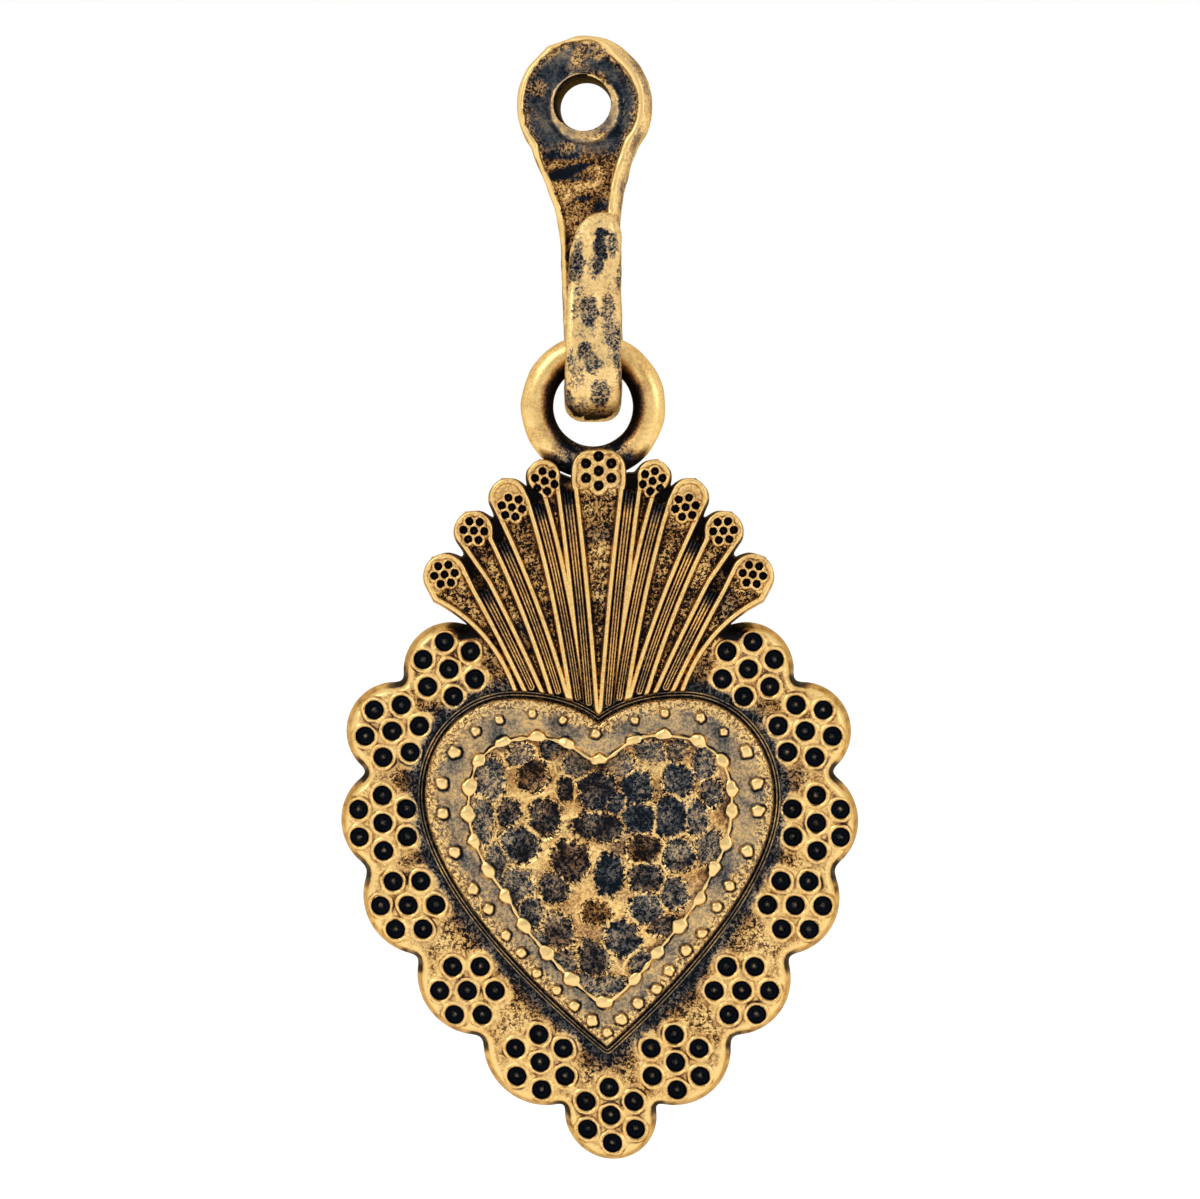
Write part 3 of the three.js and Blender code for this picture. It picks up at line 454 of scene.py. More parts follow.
def bail_wear_and_shade(vert):
    x, y, z = vert.co
    to_eye = math.hypot(x, z - 0.12)
    patch, speck = ripple(vert.co, 0.9), ripple(vert.co, 3.1)
    # Painted shade: the wall of the eye's bore is painted near black.
    if to_eye < eye_hole + 0.3 and abs(vert.normal.y) < 0.8:
        return -0.2, 0.3, 0.3
    if y > -0.2 or vert.normal.y > -0.3:
        return 0.8 + 0.45 * patch + 0.15 * speck, 0.5 + 0.8 * patch, 0.8
    if y > -0.86 and z > -9:
        left, right = head_reach(x, z)
        flat = side_band(z)
        ragged = 0.1 * speck + 0.12 * patch
        if right < flat:
            return 0.85 + 0.6 * ripple((x, y, z * 0.5), 1.7), 0.8, 0.5
        panel = smooth(0.18, 0.3, left + ragged) * smooth(0.24, 0.36, right - flat + ragged)
        collar = smooth(0.42, 0.3, to_eye - eye_hole - 0.1 * speck)
        lower = smooth(1.6, 3.0, -z)
        streak = ripple((x * 0.6, z * 1.9 - x * 0.55, 5.0)) + 0.25 * speck
        gold = smooth(0.08, 0.4, ripple(vert.co, 1.15, (0, 0, 3)) + 0.2 * speck)
        gold = max(gold, smooth(0.75, 0.35, min(left, right - flat)) * 0.8)
        dark = lerp(0.26 + 0.3 * patch + 0.3 * gold, 0.38 + 0.6 * patch, lower)
        dark -= lower * 0.75 * smooth(0.05, 0.4, streak) - lower * 0.4 * smooth(0.05, 0.4, -streak)
        bareness_and_shade = lerp(1.2, dark, panel)
        bareness_and_shade = lerp(bareness_and_shade, 0.72 + 0.35 * ripple(vert.co, 1.7), collar)
        cool = lerp(1.0 - 0.7 * gold, lerp(-0.3, 1.0, smooth(0.1, 0.3, streak)), lower)
        return bareness_and_shade, cool, lerp(0.3, lerp(0.35 + 0.9 * gold, 1.2, lower), panel)
    across = (x - hook_shift - 0.1) / tongue_half
    flank = smooth(0.35, 0.85, abs(across)) * smooth(1.1, 0.95, abs(across))
    dirt = ripple((x * 1.6, z * 0.55, 3.0)) + 0.3 * speck
    bareness_and_shade = 1.2 - 0.35 * smooth(0.1, 0.5, patch) - (0.3 + 0.65 * flank) * smooth(-0.1, 0.35, dirt)
    for mark_x, mark_z, wide, tall, dark in tongue_marks:
        away = math.hypot((x - mark_x) / wide, (z - mark_z) / tall) + 0.45 * speck
        tone = lerp(0.1, 0.42, smooth(8.0, 9.5, -mark_z))
        bareness_and_shade = lerp(bareness_and_shade, min(bareness_and_shade, tone), min(1, dark * 1.2) * smooth(1.3, 0.85, away))
    # Painted shade: the underside of the bend, curving away below, is darkened and made warmer.
    bareness_and_shade -= 0.35 * smooth(14.9, 15.4, -z) + 0.95 * smooth(15.3, 15.7, -z)
    return bareness_and_shade, lerp(0.95, 0.1, smooth(14.8, 15.4, -z)), lerp(0.8, 1.2, smooth(1.1, 0.7, bareness_and_shade))


rub(bm, bail_wear_and_shade, rounds=10, gain=3.5)
resize(bm, MM)
polished = bronze("polished_bronze", pits=0.01)
add_piece(bm, "bail_forged", polished, "bail", ["bail"])

# Suspension ring: round bronze wire bent to a ring and soldered into a notch in the plate's top
# edge. The outside is rubbed bright, and patina stays inside and where it meets the plate. The
# outer underside of the wire, where it sits in the notch, is darkened further as painted shade.
ring_radius, ring_wire, hook_bearing = 2.8, 0.82, 1.4613
ring_columns, ring_rows = 220, 64
ring_z = -strap_drop - (ring_radius + ring_wire + hook_bearing) / 2
ring_centre = Vector((hook_shift, axis_y, ring_z))


def ring_point(column, row):
    a, b = column / ring_columns * 2 * math.pi, row / ring_rows * 2 * math.pi
    outward = Vector((math.cos(a), 0, math.sin(a)))
    bevel = 0.06 * max(0, math.cos(b + 2.3)) ** 6
    wire = ring_wire * (1 + 0.02 * ripple(outward, 2)) - bevel
    place = ring_centre + outward * (ring_radius + wire * math.cos(b))
    place += Vector((0, wire * math.sin(b), 0))
    return place - outward * 0.04 * hammered(place, 1.7, 9.0) * max(0, math.cos(b))


def ring_wear_and_shade(vert):
    out = vert.co - ring_centre
    reach = math.hypot(out.x, out.z)
    low = smooth(0.62, 0.95, -out.z / reach)
    far = (reach - ring_radius) / ring_wire
    inside = smooth(0.0, -0.75, far) * (1 - 0.3 * low)
    stain = smooth(0.05, 0.4, ripple(vert.co, 0.9, (3, 1, 4)))
    # Painted shade: the outer underside of the wire, where it sits in the plate's notch.
    wedge_shade = smooth(0.68, 0.86, -out.z / reach) * smooth(-0.1, 0.6, far)
    bareness_and_shade = 1.1 - 1.15 * inside - low * (0.15 + 0.4 * stain) - 0.15 * stain - 0.9 * wedge_shade
    return bareness_and_shade, 0.2 + 0.8 * low, 0.35 + 0.7 * low


bm = sheet(ring_columns, ring_rows, ring_point, weld=0.002)
bmesh.ops.recalc_face_normals(bm, faces=bm.faces)
rub(bm, ring_wear_and_shade)
resize(bm, MM)
add_piece(bm, "suspension_ring_wire", polished, "pendant", ["suspension_ring"])

# Plate: a bronze plate sawn to thirteen lobes round the heart and nine fingers under the flames,
# with rounded edges. Seven dimples with raised collars are punched in every lobe. The field round
# the heart is grainy and stays dark. It is drawn face up: x right, y up, height above its back.
plate_thickness, fan_margin, plate_shift = 1.5, 0.12, 0.28
tip_drift, drift_start, heart_tip = 0.42, -14.6, -31.9
dimple_pitch, disc_steps, notch_steps = 1.38, 110, 120
centre_cap, centre_square = 1.4, 0.75

# Lobes on the right: middle of the dimples (x, y), their turn, radius, how much nearer the heart
# the lobe's own middle is. Seams between the flames, from the heart outwards. Flame tips: middle
# (x, y), radius, how far back the dimples' middle is.
lobes = [
    (7.45, -13.1, 20.5, 2.4, 0.1), (10.28, -16.18, 49.5, 2.45, 0.1),
    (10.79, -20.76, 29.5, 2.75, 0.6), (9.63, -24.85, -1, 2.95, 0.75), (6.83, -29.1, 0, 2.95, 0.75),
    (3.37, -32.66, 30, 3.0, 0.72),
]
lowest_lobe = (0, -35.3, 30, 2.3, -0.05)
seams = [((0.36, -16.4), (0.85, -9.6), (1.62, -3.85)), ((0.82, -16.0), (1.75, -9.0), (3.13, -4.55)),
         ((1.58, -15.7), (3.0, -10.6), (4.97, -6.45)), ((2.62, -15.6), (4.1, -12.2), (5.83, -8.96)),
         ((4.0, -15.4), (4.9, -11.4), (8.2, -9.75))]
seams = [[Vector(place) for place in seam] for seam in seams]
fan_notches = [(1.7, -3.25), (3.6, -4.0), (5.3, -5.6), (6.85, -7.5)]
flame_tips = [(2.73, -3.52, 0.84, 0.25), (4.5, -4.53, 0.93, 0.56), (6.2, -6.2, 0.97, 0.02),
              (7.62, -8.43, 1.08, -0.05)]
centre_tip = (0, -3.55, 1.38, -0.3)
rib_base, rib_top, solder_gap = 0.34, 0.5, 0.05
heart_cleft, heart_top, heart_side = -15.75, Vector((4.2, -14.5)), Vector((8.7, -19.4))
lower_border = 0.74

pendant_x, back_y = hook_shift + plate_shift, axis_y + ring_wire


def hang(bm):
    """Carries a piece from the drawing to its place below the ring."""
    for vert in bm.verts:
        x, y, height = vert.co
        x += tip_drift * (max(0.0, drift_start - y) / (drift_start - heart_tip)) ** 2
        vert.co = Vector((pendant_x + x, back_y - height, ring_z + y)) * MM


def direction(angle):
    return Vector((math.cos(angle), math.sin(angle)))


def circle(centre, radius, steps):
    return [centre + direction(2 * math.pi * i / steps) * radius for i in range(steps)]


def mirrored(line):
    return [Vector((-p.x, p.y)) for p in line]


def spaced(points, shares):
    """Points at rising shares of a line's length."""
    lengths = [0.0]
    for a, b in zip(points, points[1:]):
        lengths.append(lengths[-1] + (b - a).length)
    found, i = [], 0
    for share in shares:
        goal = share * lengths[-1]
        while i < len(points) - 2 and lengths[i + 1] < goal:
            i += 1
        step = (goal - lengths[i]) / max(1e-9, lengths[i + 1] - lengths[i])
        found.append(points[i].lerp(points[i + 1], min(1.0, step)))
    return found


def inside_of(loop):
    """A measure of how far a place is inside a loop that runs counterclockwise."""
    tree = finder(loop)

    def measure(place):
        place = Vector(place[:2])
        i = tree.find(place.to_3d())[1]
        best, square = 1e9, 0.0
        for j in (i - 1, i):
            a, b = loop[j], loop[(j + 1) % len(loop)]
            share = min(1.0, max(0.0, geometry.intersect_point_line(place, a, b)[1]))
            best = min(best, (place - a.lerp(b, share)).length)
            off = (b - a).normalized().cross(place - a)
            square = max(square, off, key=abs)
        return math.copysign(best, square)

    return measure


def heart_half(distance):
    """The right half of the heart's outline from the cleft to the tip, moved in by a distance."""
    wide, tall = heart_side.x - heart_top.x, heart_top.y - heart_side.y
    fall = heart_tip - heart_side.y
    cleft, tip = Vector((0, heart_cleft)), Vector((0, heart_tip))
    curves = [
        (cleft, Vector((0.9, heart_cleft + 0.75)), Vector((heart_top.x * 0.55, heart_top.y)),
         heart_top),
        (heart_top, Vector((heart_top.x + wide * 0.56, heart_top.y)),
         Vector((heart_side.x, heart_side.y + tall * 0.55)), heart_side),
        (heart_side, Vector((heart_side.x, heart_side.y + fall * 0.34)),
         Vector((heart_side.x * 0.39, heart_tip - fall * 0.235)), tip),
    ]
    points = []

    def place(p, angle):
        down = smooth(0, heart_side.y - heart_tip, heart_side.y - p.y)
        share = lerp(1, lower_border, down) if distance > 0 else 1
        points.append(p + direction(angle) * distance * share)

    def inward(curve, t):
        along = bezier(curve, t + 1e-4) - bezier(curve, t - 1e-4)
        return math.atan2(along.y, along.x) - math.pi / 2

    if distance > 0:
        for i in range(12):
            place(cleft, lerp(-math.pi / 2, inward(curves[0], 0), i / 12))
    for curve in curves:
        for i in range(48):
            place(bezier(curve, i / 48), inward(curve, i / 48))
    last = inward(curves[2], 1)
    if distance < 0:
        for i in range(12):
            place(tip, lerp(last, -3 * math.pi / 2, i / 12))
    place(tip, math.pi / 2 if distance < 0 else last)
    right = [i for i, p in enumerate(points) if p.x > 1e-6]
    first, last = right[0], right[-1]
    ends = []
    for a, b in ((points[first], points[first - 1]), (points[last], points[last + 1])):
        ends.append(Vector((0, lerp(a.y, b.y, a.x / (a.x - b.x)) if a.x > b.x else b.y)))
    return [ends[0], *points[first:last + 1], ends[1]]


def heart_line(distance, steps):
    """The heart's outline, counterclockwise from just left of the cleft, moved in by a distance."""
    half = spaced(heart_half(distance), [i / (steps // 2) for i in range(steps // 2 + 1)])
    return (half[:-1] + mirrored(half[::-1])[:-1])[::-1]


in_heart = inside_of(heart_line(0, 480))


def rib_half_at(t):
    """Half a rib's width at a share of its seam."""
    return lerp(rib_base, rib_top, t) / 2


def beside(seam, t, distance):
    """A place along a seam, moved to its right by a distance."""
    along = (bezier(seam, t + 1e-4) - bezier(seam, t - 1e-4)).normalized()
    return bezier(seam, t) + Vector((along.y, -along.x)) * distance


def flame_sides(left_seam, right_seam, tip, ribbed=True):
    """Both sides of a flame from the heart to the top of its tip, and the way that it points."""
    centre, radius = Vector(tip[:2]), tip[2]
    foot = (bezier(left_seam, 0.6) + bezier(right_seam, 0.6)) / 2
    ahead = (centre - foot).normalized()
    cap, square = (centre_cap, centre_square) if tip[0] == 0 else (radius, 1)
    sides = []
    for seam, hand in ((left_seam, -1), (right_seam, 1)):
        across = Vector((ahead.y, -ahead.x)) * hand
        around = []
        for i in range(61):
            angle = math.radians(120 - i * 2)
            up = math.cos(angle)
            out = across * (math.sin(angle) ** square * radius if i < 60 else 0)
            around.append(centre + out + ahead * math.copysign(abs(up) ** square, up) * cap)
        clear = rib_half_at if ribbed or hand < 0 else (lambda t: 0)
        along = [beside(seam, i / 60, -hand * (clear(i / 60) + solder_gap)) for i in range(61)]
        along = [p for p in along
                 if (p - centre).length > radius * 1.02 and (p - centre).dot(ahead) < 0]
        leans = [(p - along[-1]).normalized().dot(across) for p in around]
        sides.append(along + around[leans.index(max(leans)):])
    return sides[0], sides[1], ahead


flames = {"flame_centre": (*flame_sides(mirrored(seams[0]), seams[0], centre_tip), centre_tip)}
for i, tip in enumerate(flame_tips):
    left, right, ahead = flame_sides(seams[i], seams[i + 1], tip, i < 3)
    flames[f"flame_right_{i + 1}"] = (left, right, ahead, tip)
    flames[f"flame_left_{i + 1}"] = (mirrored(right), mirrored(left), *mirrored([ahead]),
                                     (-tip[0], *tip[1:]))


def honeycomb(centre, pitch, turn):
    around = [math.radians(turn + 60 * i) for i in range(6)]
    return [centre] + [centre + direction(angle) * pitch for angle in around]


left_lobes = [(-x, y, 180 - turn, *rest) for x, y, turn, *rest in lobes]
discs, dimples = [], []
for x, y, turn, radius, nearer in left_lobes + [lowest_lobe] + lobes[::-1]:
    centre = Vector((x, y))
    to_heart = (Vector((0, heart_side.y)) - centre).normalized()
    discs.append((centre + to_heart * nearer, radius))
    dimples += honeycomb(centre, dimple_pitch, turn)

# The sawn outline is what is left of the lobes, their middle, the fan and its fingers when all are
# laid over each other.
patterns = [circle(centre, radius, disc_steps) for centre, radius in discs]
patterns.append([centre for centre, _ in discs])
for left, right, _, _ in flames.values():
    shares = [i / 70 for i in range(71)]
    rows = list(zip(spaced(left, shares), spaced(right, shares)))
    outer = []
    for a, b in rows[:-1]:
        across = (b - a).normalized() * fan_margin
        outer.append((a - across, b + across))
    way = (rows[-1][0] - rows[-6][0] + rows[-1][1] - rows[-6][1]).normalized()
    top = (rows[-1][0] + rows[-1][1]) / 2 + way * fan_margin
    patterns.append([b for _, b in outer] + [top] + [a for a, _ in outer][::-1])
fan = [seams[4][0]] + [Vector(spot) for spot in fan_notches[::-1]]
patterns.append(fan + mirrored(fan[::-1]))
notch_radius = ring_radius + ring_wire + solder_gap
ring_spot = Vector((-plate_shift, 0))
notch = circle(ring_spot, notch_radius, notch_steps)

corners, rims = [], []
for pattern in patterns + [notch]:
    first = len(corners)
    corners += pattern
    rims += [(first + i, first + (i + 1) % len(pattern)) for i in range(len(pattern))]


def in_polygon(place, polygon):
    odd = False
    for a, b in zip(polygon, polygon[1:] + polygon[:1]):
        if (a.y > place.y) != (b.y > place.y):
            odd ^= place.x < lerp(a.x, b.x, (place.y - a.y) / (b.y - a.y))
    return odd


cut_verts, _, cut_faces = geometry.delaunay_2d_cdt(corners, rims, [], 0, 1e-4)[:3]
kept = {}  # the edges of what is left; one between two of its faces drops out
for face in cut_faces:
    middle = sum((cut_verts[i] for i in face), Vector((0, 0))) / len(face)
    if (middle - ring_spot).length < notch_radius * 0.999:
        continue
    if any((middle - centre).length < radius * 0.9995 for centre, radius in discs) or any(
        in_polygon(middle, pattern) for pattern in patterns[len(discs):]
    ):
        for a, b in zip(face, face[1:] + face[:1]):
            if (b, a) in kept:
                del kept[(b, a)]
            else:
                kept[(a, b)] = True
after = {a: b for a, b in kept}
loops = []
while after:
    loop, at = [], next(iter(after))
    while at in after:
        loop.append(cut_verts[at])
        at = after.pop(at)
    loops.append(loop)
outline = max(loops, key=len)
outline = [p for i, p in enumerate(outline) if (p - outline[i - 1]).length > 0.02]
is_lobe = [any(abs((p - centre).length - radius) < 0.01 for centre, radius in discs)
           for p in outline]


def with_neighbours(loop):
    return zip(loop[-1:] + loop[:-1], loop, loop[1:] + loop[:1])


# A file eases the notches, the deep ones between the lobes more than those of the fan.
notches = [p for back, p, on in with_neighbours(outline)
           if (p - back).normalized().cross((on - p).normalized()) < -0.3]
for _ in range(16):
    eased = []
    for back, p, on in with_neighbours(outline):
        pull = smooth(0.75, 0.4, min((p - spot).length for spot in notches))
        eased.append(p.lerp((back + on) / 2, pull * (0.5 if p.y < -13.3 else 0.1)))
    outline = eased
in_plate = inside_of(outline)
edge_tree, dimple_tree = finder(outline), finder(dimples)

# Marks for the face's mesh fill the field in a grid. The edge's shoulder is narrower on the fan.
grid_left, grid_foot, grid_pitch, grid_columns, grid_rows = -13, -38, 0.15, 180, 232
fan_share, collar_edge = 0.4, 0.75

# Each dimple from its middle outwards, and the edge's shoulder inwards: distance, height.
dimple_rings = [
    (0.09, -0.33), (0.17, -0.4), (0.26, -0.45), (0.39, -0.42), (0.45, -0.25), (0.47, -0.04),
    (0.49, 0.01), (0.51, 0.0), (0.54, 0.045), (0.58, 0.055), (0.62, 0.03), (0.66, -0.015),
    (0.7, -0.02), (0.74, 0.0),
]
shoulder = [
    (0.0, -1.35), (0.1, -0.98), (0.19, -0.66), (0.25, -0.43), (0.32, -0.26), (0.4, -0.13),
    (0.5, -0.04), (0.64, 0.0),
]


def along_table(table, at):
    for (a, low), (b, high) in zip(table, table[1:]):
        if at <= b:
            return lerp(low, high, max(0, at - a) / (b - a))
    return table[-1][1]


def collar_way(place, away):
    """A way from a dimple's middle, made uneven where the dimple's raised collar lies."""
    return away + 0.08 * ripple(place, 2.1) * smooth(0.45, 0.53, away)


marks = []
for centre in dimples:
    marks.append(centre)
    for away, _ in dimple_rings:
        marks += circle(centre, away, 12 if away < 0.15 else 34)
for (back, p, on), lobed in zip(with_neighbours(outline), is_lobe):
    run = (on - back).normalized()
    inward = Vector((-run.y, run.x))
    for depth, _ in shoulder[1:]:
        depth *= 1 if lobed else fan_share
        spot = p + inward * depth
        if in_plate(spot) > depth * 0.96 and dimple_tree.find(spot.to_3d())[2] > 0.76:
            marks.append(spot)
for row in range(grid_rows):
    for column in range(grid_columns):
        spot = Vector((grid_left + column * grid_pitch + (row % 2) * grid_pitch / 2,
                       grid_foot + row * grid_pitch))
        spot += Vector((ripple(spot, 3), ripple(spot, 3, (9, 9, 9)))) * 0.04
        if dimple_tree.find(spot.to_3d())[2] < 0.78 or in_heart(spot) > 0.5 or abs(spot.x) > 13:
            continue
        if in_plate(spot) > (0.65 if spot.y < -11 else 0.3):
            marks.append(spot)
count = len(outline)
drawn = outline + marks
edges = [(i, (i + 1) % count) for i in range(count)]
face_verts, _, faces = geometry.delaunay_2d_cdt(drawn, edges, [], 1, 1e-4)[:3]
bm = bmesh.new()
corners = []
for p in face_verts:
    depth = max(0, in_plate(p))
    scale = 1 if is_lobe[edge_tree.find(p.to_3d())[1]] else fan_share
    height = along_table(shoulder, depth / scale)
    away = dimple_tree.find(p.to_3d())[2]
    if away < collar_edge:
        height *= smooth(0.3, 0.66, away)
        height += along_table([(0, -0.28)] + dimple_rings, collar_way(p, away))
    else:
        height += 0.03 * ripple(p, 0.9) * smooth(0.3, 0.8, depth)
    corners.append(bm.verts.new((p.x, p.y, plate_thickness + height)))
for face in faces:
    bm.faces.new([corners[i] for i in face])
loose = [vert for vert in bm.verts if not vert.link_faces]
bmesh.ops.delete(bm, geom=loose, context="VERTS")


def draw_down(bm, height):
    """Draws the open rims of a sheet down to a height and gives the new rims."""
    rims = [edge for edge in bm.edges if edge.is_boundary]
    made = bmesh.ops.extrude_edge_only(bm, edges=rims)["geom"]
    rims = [part for part in made if isinstance(part, bmesh.types.BMEdge)]
    for vert in {vert for edge in rims for vert in edge.verts}:
        vert.co.z = height
    return rims


def seat(bm, height, crisp=True):
    """Draws the rim of a sheet down to a flat foot."""
    rim = draw_down(bm, height)
    for edge in rim:
        edge.smooth = not crisp
    bmesh.ops.holes_fill(bm, edges=rim, sides=0)
    bmesh.ops.recalc_face_normals(bm, faces=bm.faces)


def hang_piece(bm, node, finish, material, paint, rounds, gain):
    """Paints wear and painted shade on a piece of the pendant, hangs it below the ring and puts it
    in its solid's place.
    """
    rub(bm, paint, rounds, gain)
    hang(bm)
    add_piece(bm, f"{node}_{finish}", material, "pendant", [node])


fan_corners = [Vector((side * x, y)) for x, y in fan_notches for side in (1, -1)]


def plate_wear_and_shade(vert):
    place, height = vert.co.xy, vert.co.z - plate_thickness
    heart, depth = -in_heart(place), in_plate(place)
    away = dimple_tree.find(place.to_3d())[2]
    if vert.co.z < 0.05:
        return 0.72, 0.5, 0.8
    if away < 0.46:
        return lerp(0.36, -0.3, smooth(0.1, 0.27, away)), 1, 0.6
    speck = ripple(place, 2.3)
    notch_near = min((place - p).length for p in notches + fan_corners)
    patch = ripple(place, 0.55, (0, 0, 11))
    field = lerp(-0.05, 0.7, smooth(0.4, 1.9, heart + 0.4 * speck)) - 0.15 * speck + 0.3 * patch
    by_flames = place.y > -15.3 and abs(place.x) < 9.4
    if by_flames and heart > 0:
        field = min(field, lerp(0.34, -0.1, smooth(-12.3, -11.3, place.y)) + 0.35 * speck)
    group = smooth(1.05, 0.72, away + 0.1 * speck) * smooth(0.25, 0.9, heart)
    if by_flames:
        group *= smooth(0.92, 0.62, away)
    bareness_and_shade = lerp(field, 1.02 + 0.25 * patch, group)
    grit = lerp(1.5, 0.45, max(group, smooth(1.0, 0.5, depth)))
    bareness_and_shade = lerp(bareness_and_shade, 1.25, smooth(0.75, 0.45, depth))
    if away < 0.76:
        warped = collar_way(place, away)
        wander = 0.35 + 1.5 * ripple(place, 1.6, (5, 0, 0))
        collar = smooth(0.72, 0.62, warped)
        bareness_and_shade = lerp(bareness_and_shade, 1.15 - 0.3 * smooth(0.9, 0.2, heart), collar)
        bareness_and_shade -= 0.75 * max(0, wander) * smooth(0.6, 0.65, warped) * smooth(0.76, 0.69, warped)
        bareness_and_shade -= 0.35 * smooth(0.47, 0.49, warped) * smooth(0.54, 0.51, warped)
    wall = smooth(-0.2, -0.42, height)
    bareness_and_shade = lerp(bareness_and_shade, 0.88 + 0.35 * speck, wall)
    # Painted shade: the notches between the lobes and between the fan's fingers are darkened, most
    # on the walls, and the fan's notches near the flames still more.
    bareness_and_shade -= 0.85 * smooth(1.3, 0.1, notch_near + 0.4 * speck) * (0.15 + 0.85 * wall)
    if place.y > -12:
        bareness_and_shade -= 1.3 * smooth(1.0, 0.45, notch_near)
    return bareness_and_shade, max(0.1 + 0.8 * wall * smooth(1.1, 0.3, notch_near), smooth(1.3, 0.4, heart)), grit


seat(bm, 0.0)
hang_piece(bm, "scalloped_plate", "sawn", bronze("plate_bronze", fleck=0.16, twist=1.0),
           plate_wear_and_shade, rounds=4, gain=1.0)

# Flames: nine tongues of sheet bronze soldered side by side on the fan. Each has a round bright
# rim, a grainy sunk panel that narrows to the heart, and a pad with seven dimples at its tip.
flame_edge, edge_roll, flame_panel, flame_pad = 0.36, 0.24, 0.3, 0.49
flame_pitch, flame_pit, centre_pit, centre_scale = 0.51, 0.195, 0.175, 1.42
flame_columns, flame_rows, flame_sink = 64, 150, 0.62
flame_bronze = bronze("flame_bronze", fleck=0.15)
for name, (left, right, ahead, tip) in flames.items():
    shares = [1 - (1 - i / flame_rows) ** 1.6 for i in range(flame_rows + 1)]
    lines = spaced(left, shares), spaced(right, shares)
    shares = [i / 500 for i in range(501)]
    in_flame = inside_of(spaced(right, shares) + spaced(left, shares)[::-1][1:])
    scale, pit = (centre_scale, centre_pit) if name == "flame_centre" else (1, flame_pit)
    group = Vector(tip[:2]) - ahead * tip[3]
    spots = honeycomb(group, flame_pitch * scale, math.degrees(math.atan2(ahead.y, ahead.x)))

    def relief(place):
        """The height above the plate here, and how far in the flame, how padded, how far from a
        dimple and how far outside the heart the place is."""
        depth, outside = max(0.0, in_flame(place)), -in_heart(place)
        padded = smooth(-0.75 * scale, -0.5 * scale, (place - group).dot(ahead))
        away = min((place - spot).length for spot in spots) / scale
        padded = max(padded, smooth(0.42, 0.3, away))
        floor = lerp(flame_panel, flame_pad, padded)
        rim = flame_edge + edge_roll * math.sqrt(max(0, 1 - (1 - min(1, depth / 0.13)) ** 2))
        height = lerp(rim, floor, smooth(0.2, 0.37, depth))
        height += 0.03 * smooth(pit + 0.08, pit + 0.03, away) * smooth(pit, pit + 0.02, away)
        height -= 0.24 * smooth(pit + 0.01, pit - 0.04, away) - 0.08 * smooth(0.09, 0.0, away)
        height = lerp(-0.4, height, smooth(0.12, 0.36, outside))
        return height, depth, padded, away, outside

    def flame_point(column, row):
        share = 0.5 - 0.5 * math.cos(math.pi * (column / flame_columns))
        share = lerp(column / flame_columns, share, 0.35)
        place = lines[0][row].lerp(lines[1][row], share)
        return Vector((*place, plate_thickness + relief(place)[0]))

    def flame_wear_and_shade(vert):
        if vert.co.z < plate_thickness + 0.1:
            return 0.0, 0.5, 0.3
        _, depth, padded, away, outside = relief(vert.co.xy)
        speck = ripple(vert.co, 2.6)
        sunk = smooth(0.24, 0.34, depth + 0.06 * speck)
        panel = sunk * (1 - padded)
        bareness_and_shade = lerp(1.18, 0.31 + 0.45 * ripple(vert.co, 0.9) + 0.25 * speck, panel)
        bareness_and_shade = lerp(bareness_and_shade, 1.0, padded * sunk)
        bareness_and_shade -= 0.3 * panel * smooth(0.46, 0.34, depth)
        # Painted shade: the slope from the rim down to the pad, and the rim's outer roll at the
        # very edge, are darkened.
        bareness_and_shade -= 0.35 * padded * smooth(0.18, 0.25, depth) * smooth(0.38, 0.28, depth)
        bareness_and_shade -= 0.6 * smooth(0.06, 0.0, depth)
        if away < 0.3:
            hole = lerp(0.25, -0.4, smooth(0.03, 0.09, away))
            bareness_and_shade = lerp(hole, bareness_and_shade, smooth(pit - 0.02, pit + 0.02, away))
        elif away < 0.42:
            bareness_and_shade -= 0.35 * smooth(0.3, 0.32, away) * smooth(0.39, 0.35, away)
        bareness_and_shade -= 0.3 * smooth(0.9, 0.2, outside) * panel
        return bareness_and_shade, 0.9 * ripple(vert.co, 0.7) - 0.25, lerp(0.5, 1.7, panel)

    bm = sheet(flame_columns, flame_rows, flame_point, weld=0.0005)
    seat(bm, plate_thickness - flame_sink)
    hang_piece(bm, name, "embossed", flame_bronze, flame_wear_and_shade, rounds=3, gain=1.0)

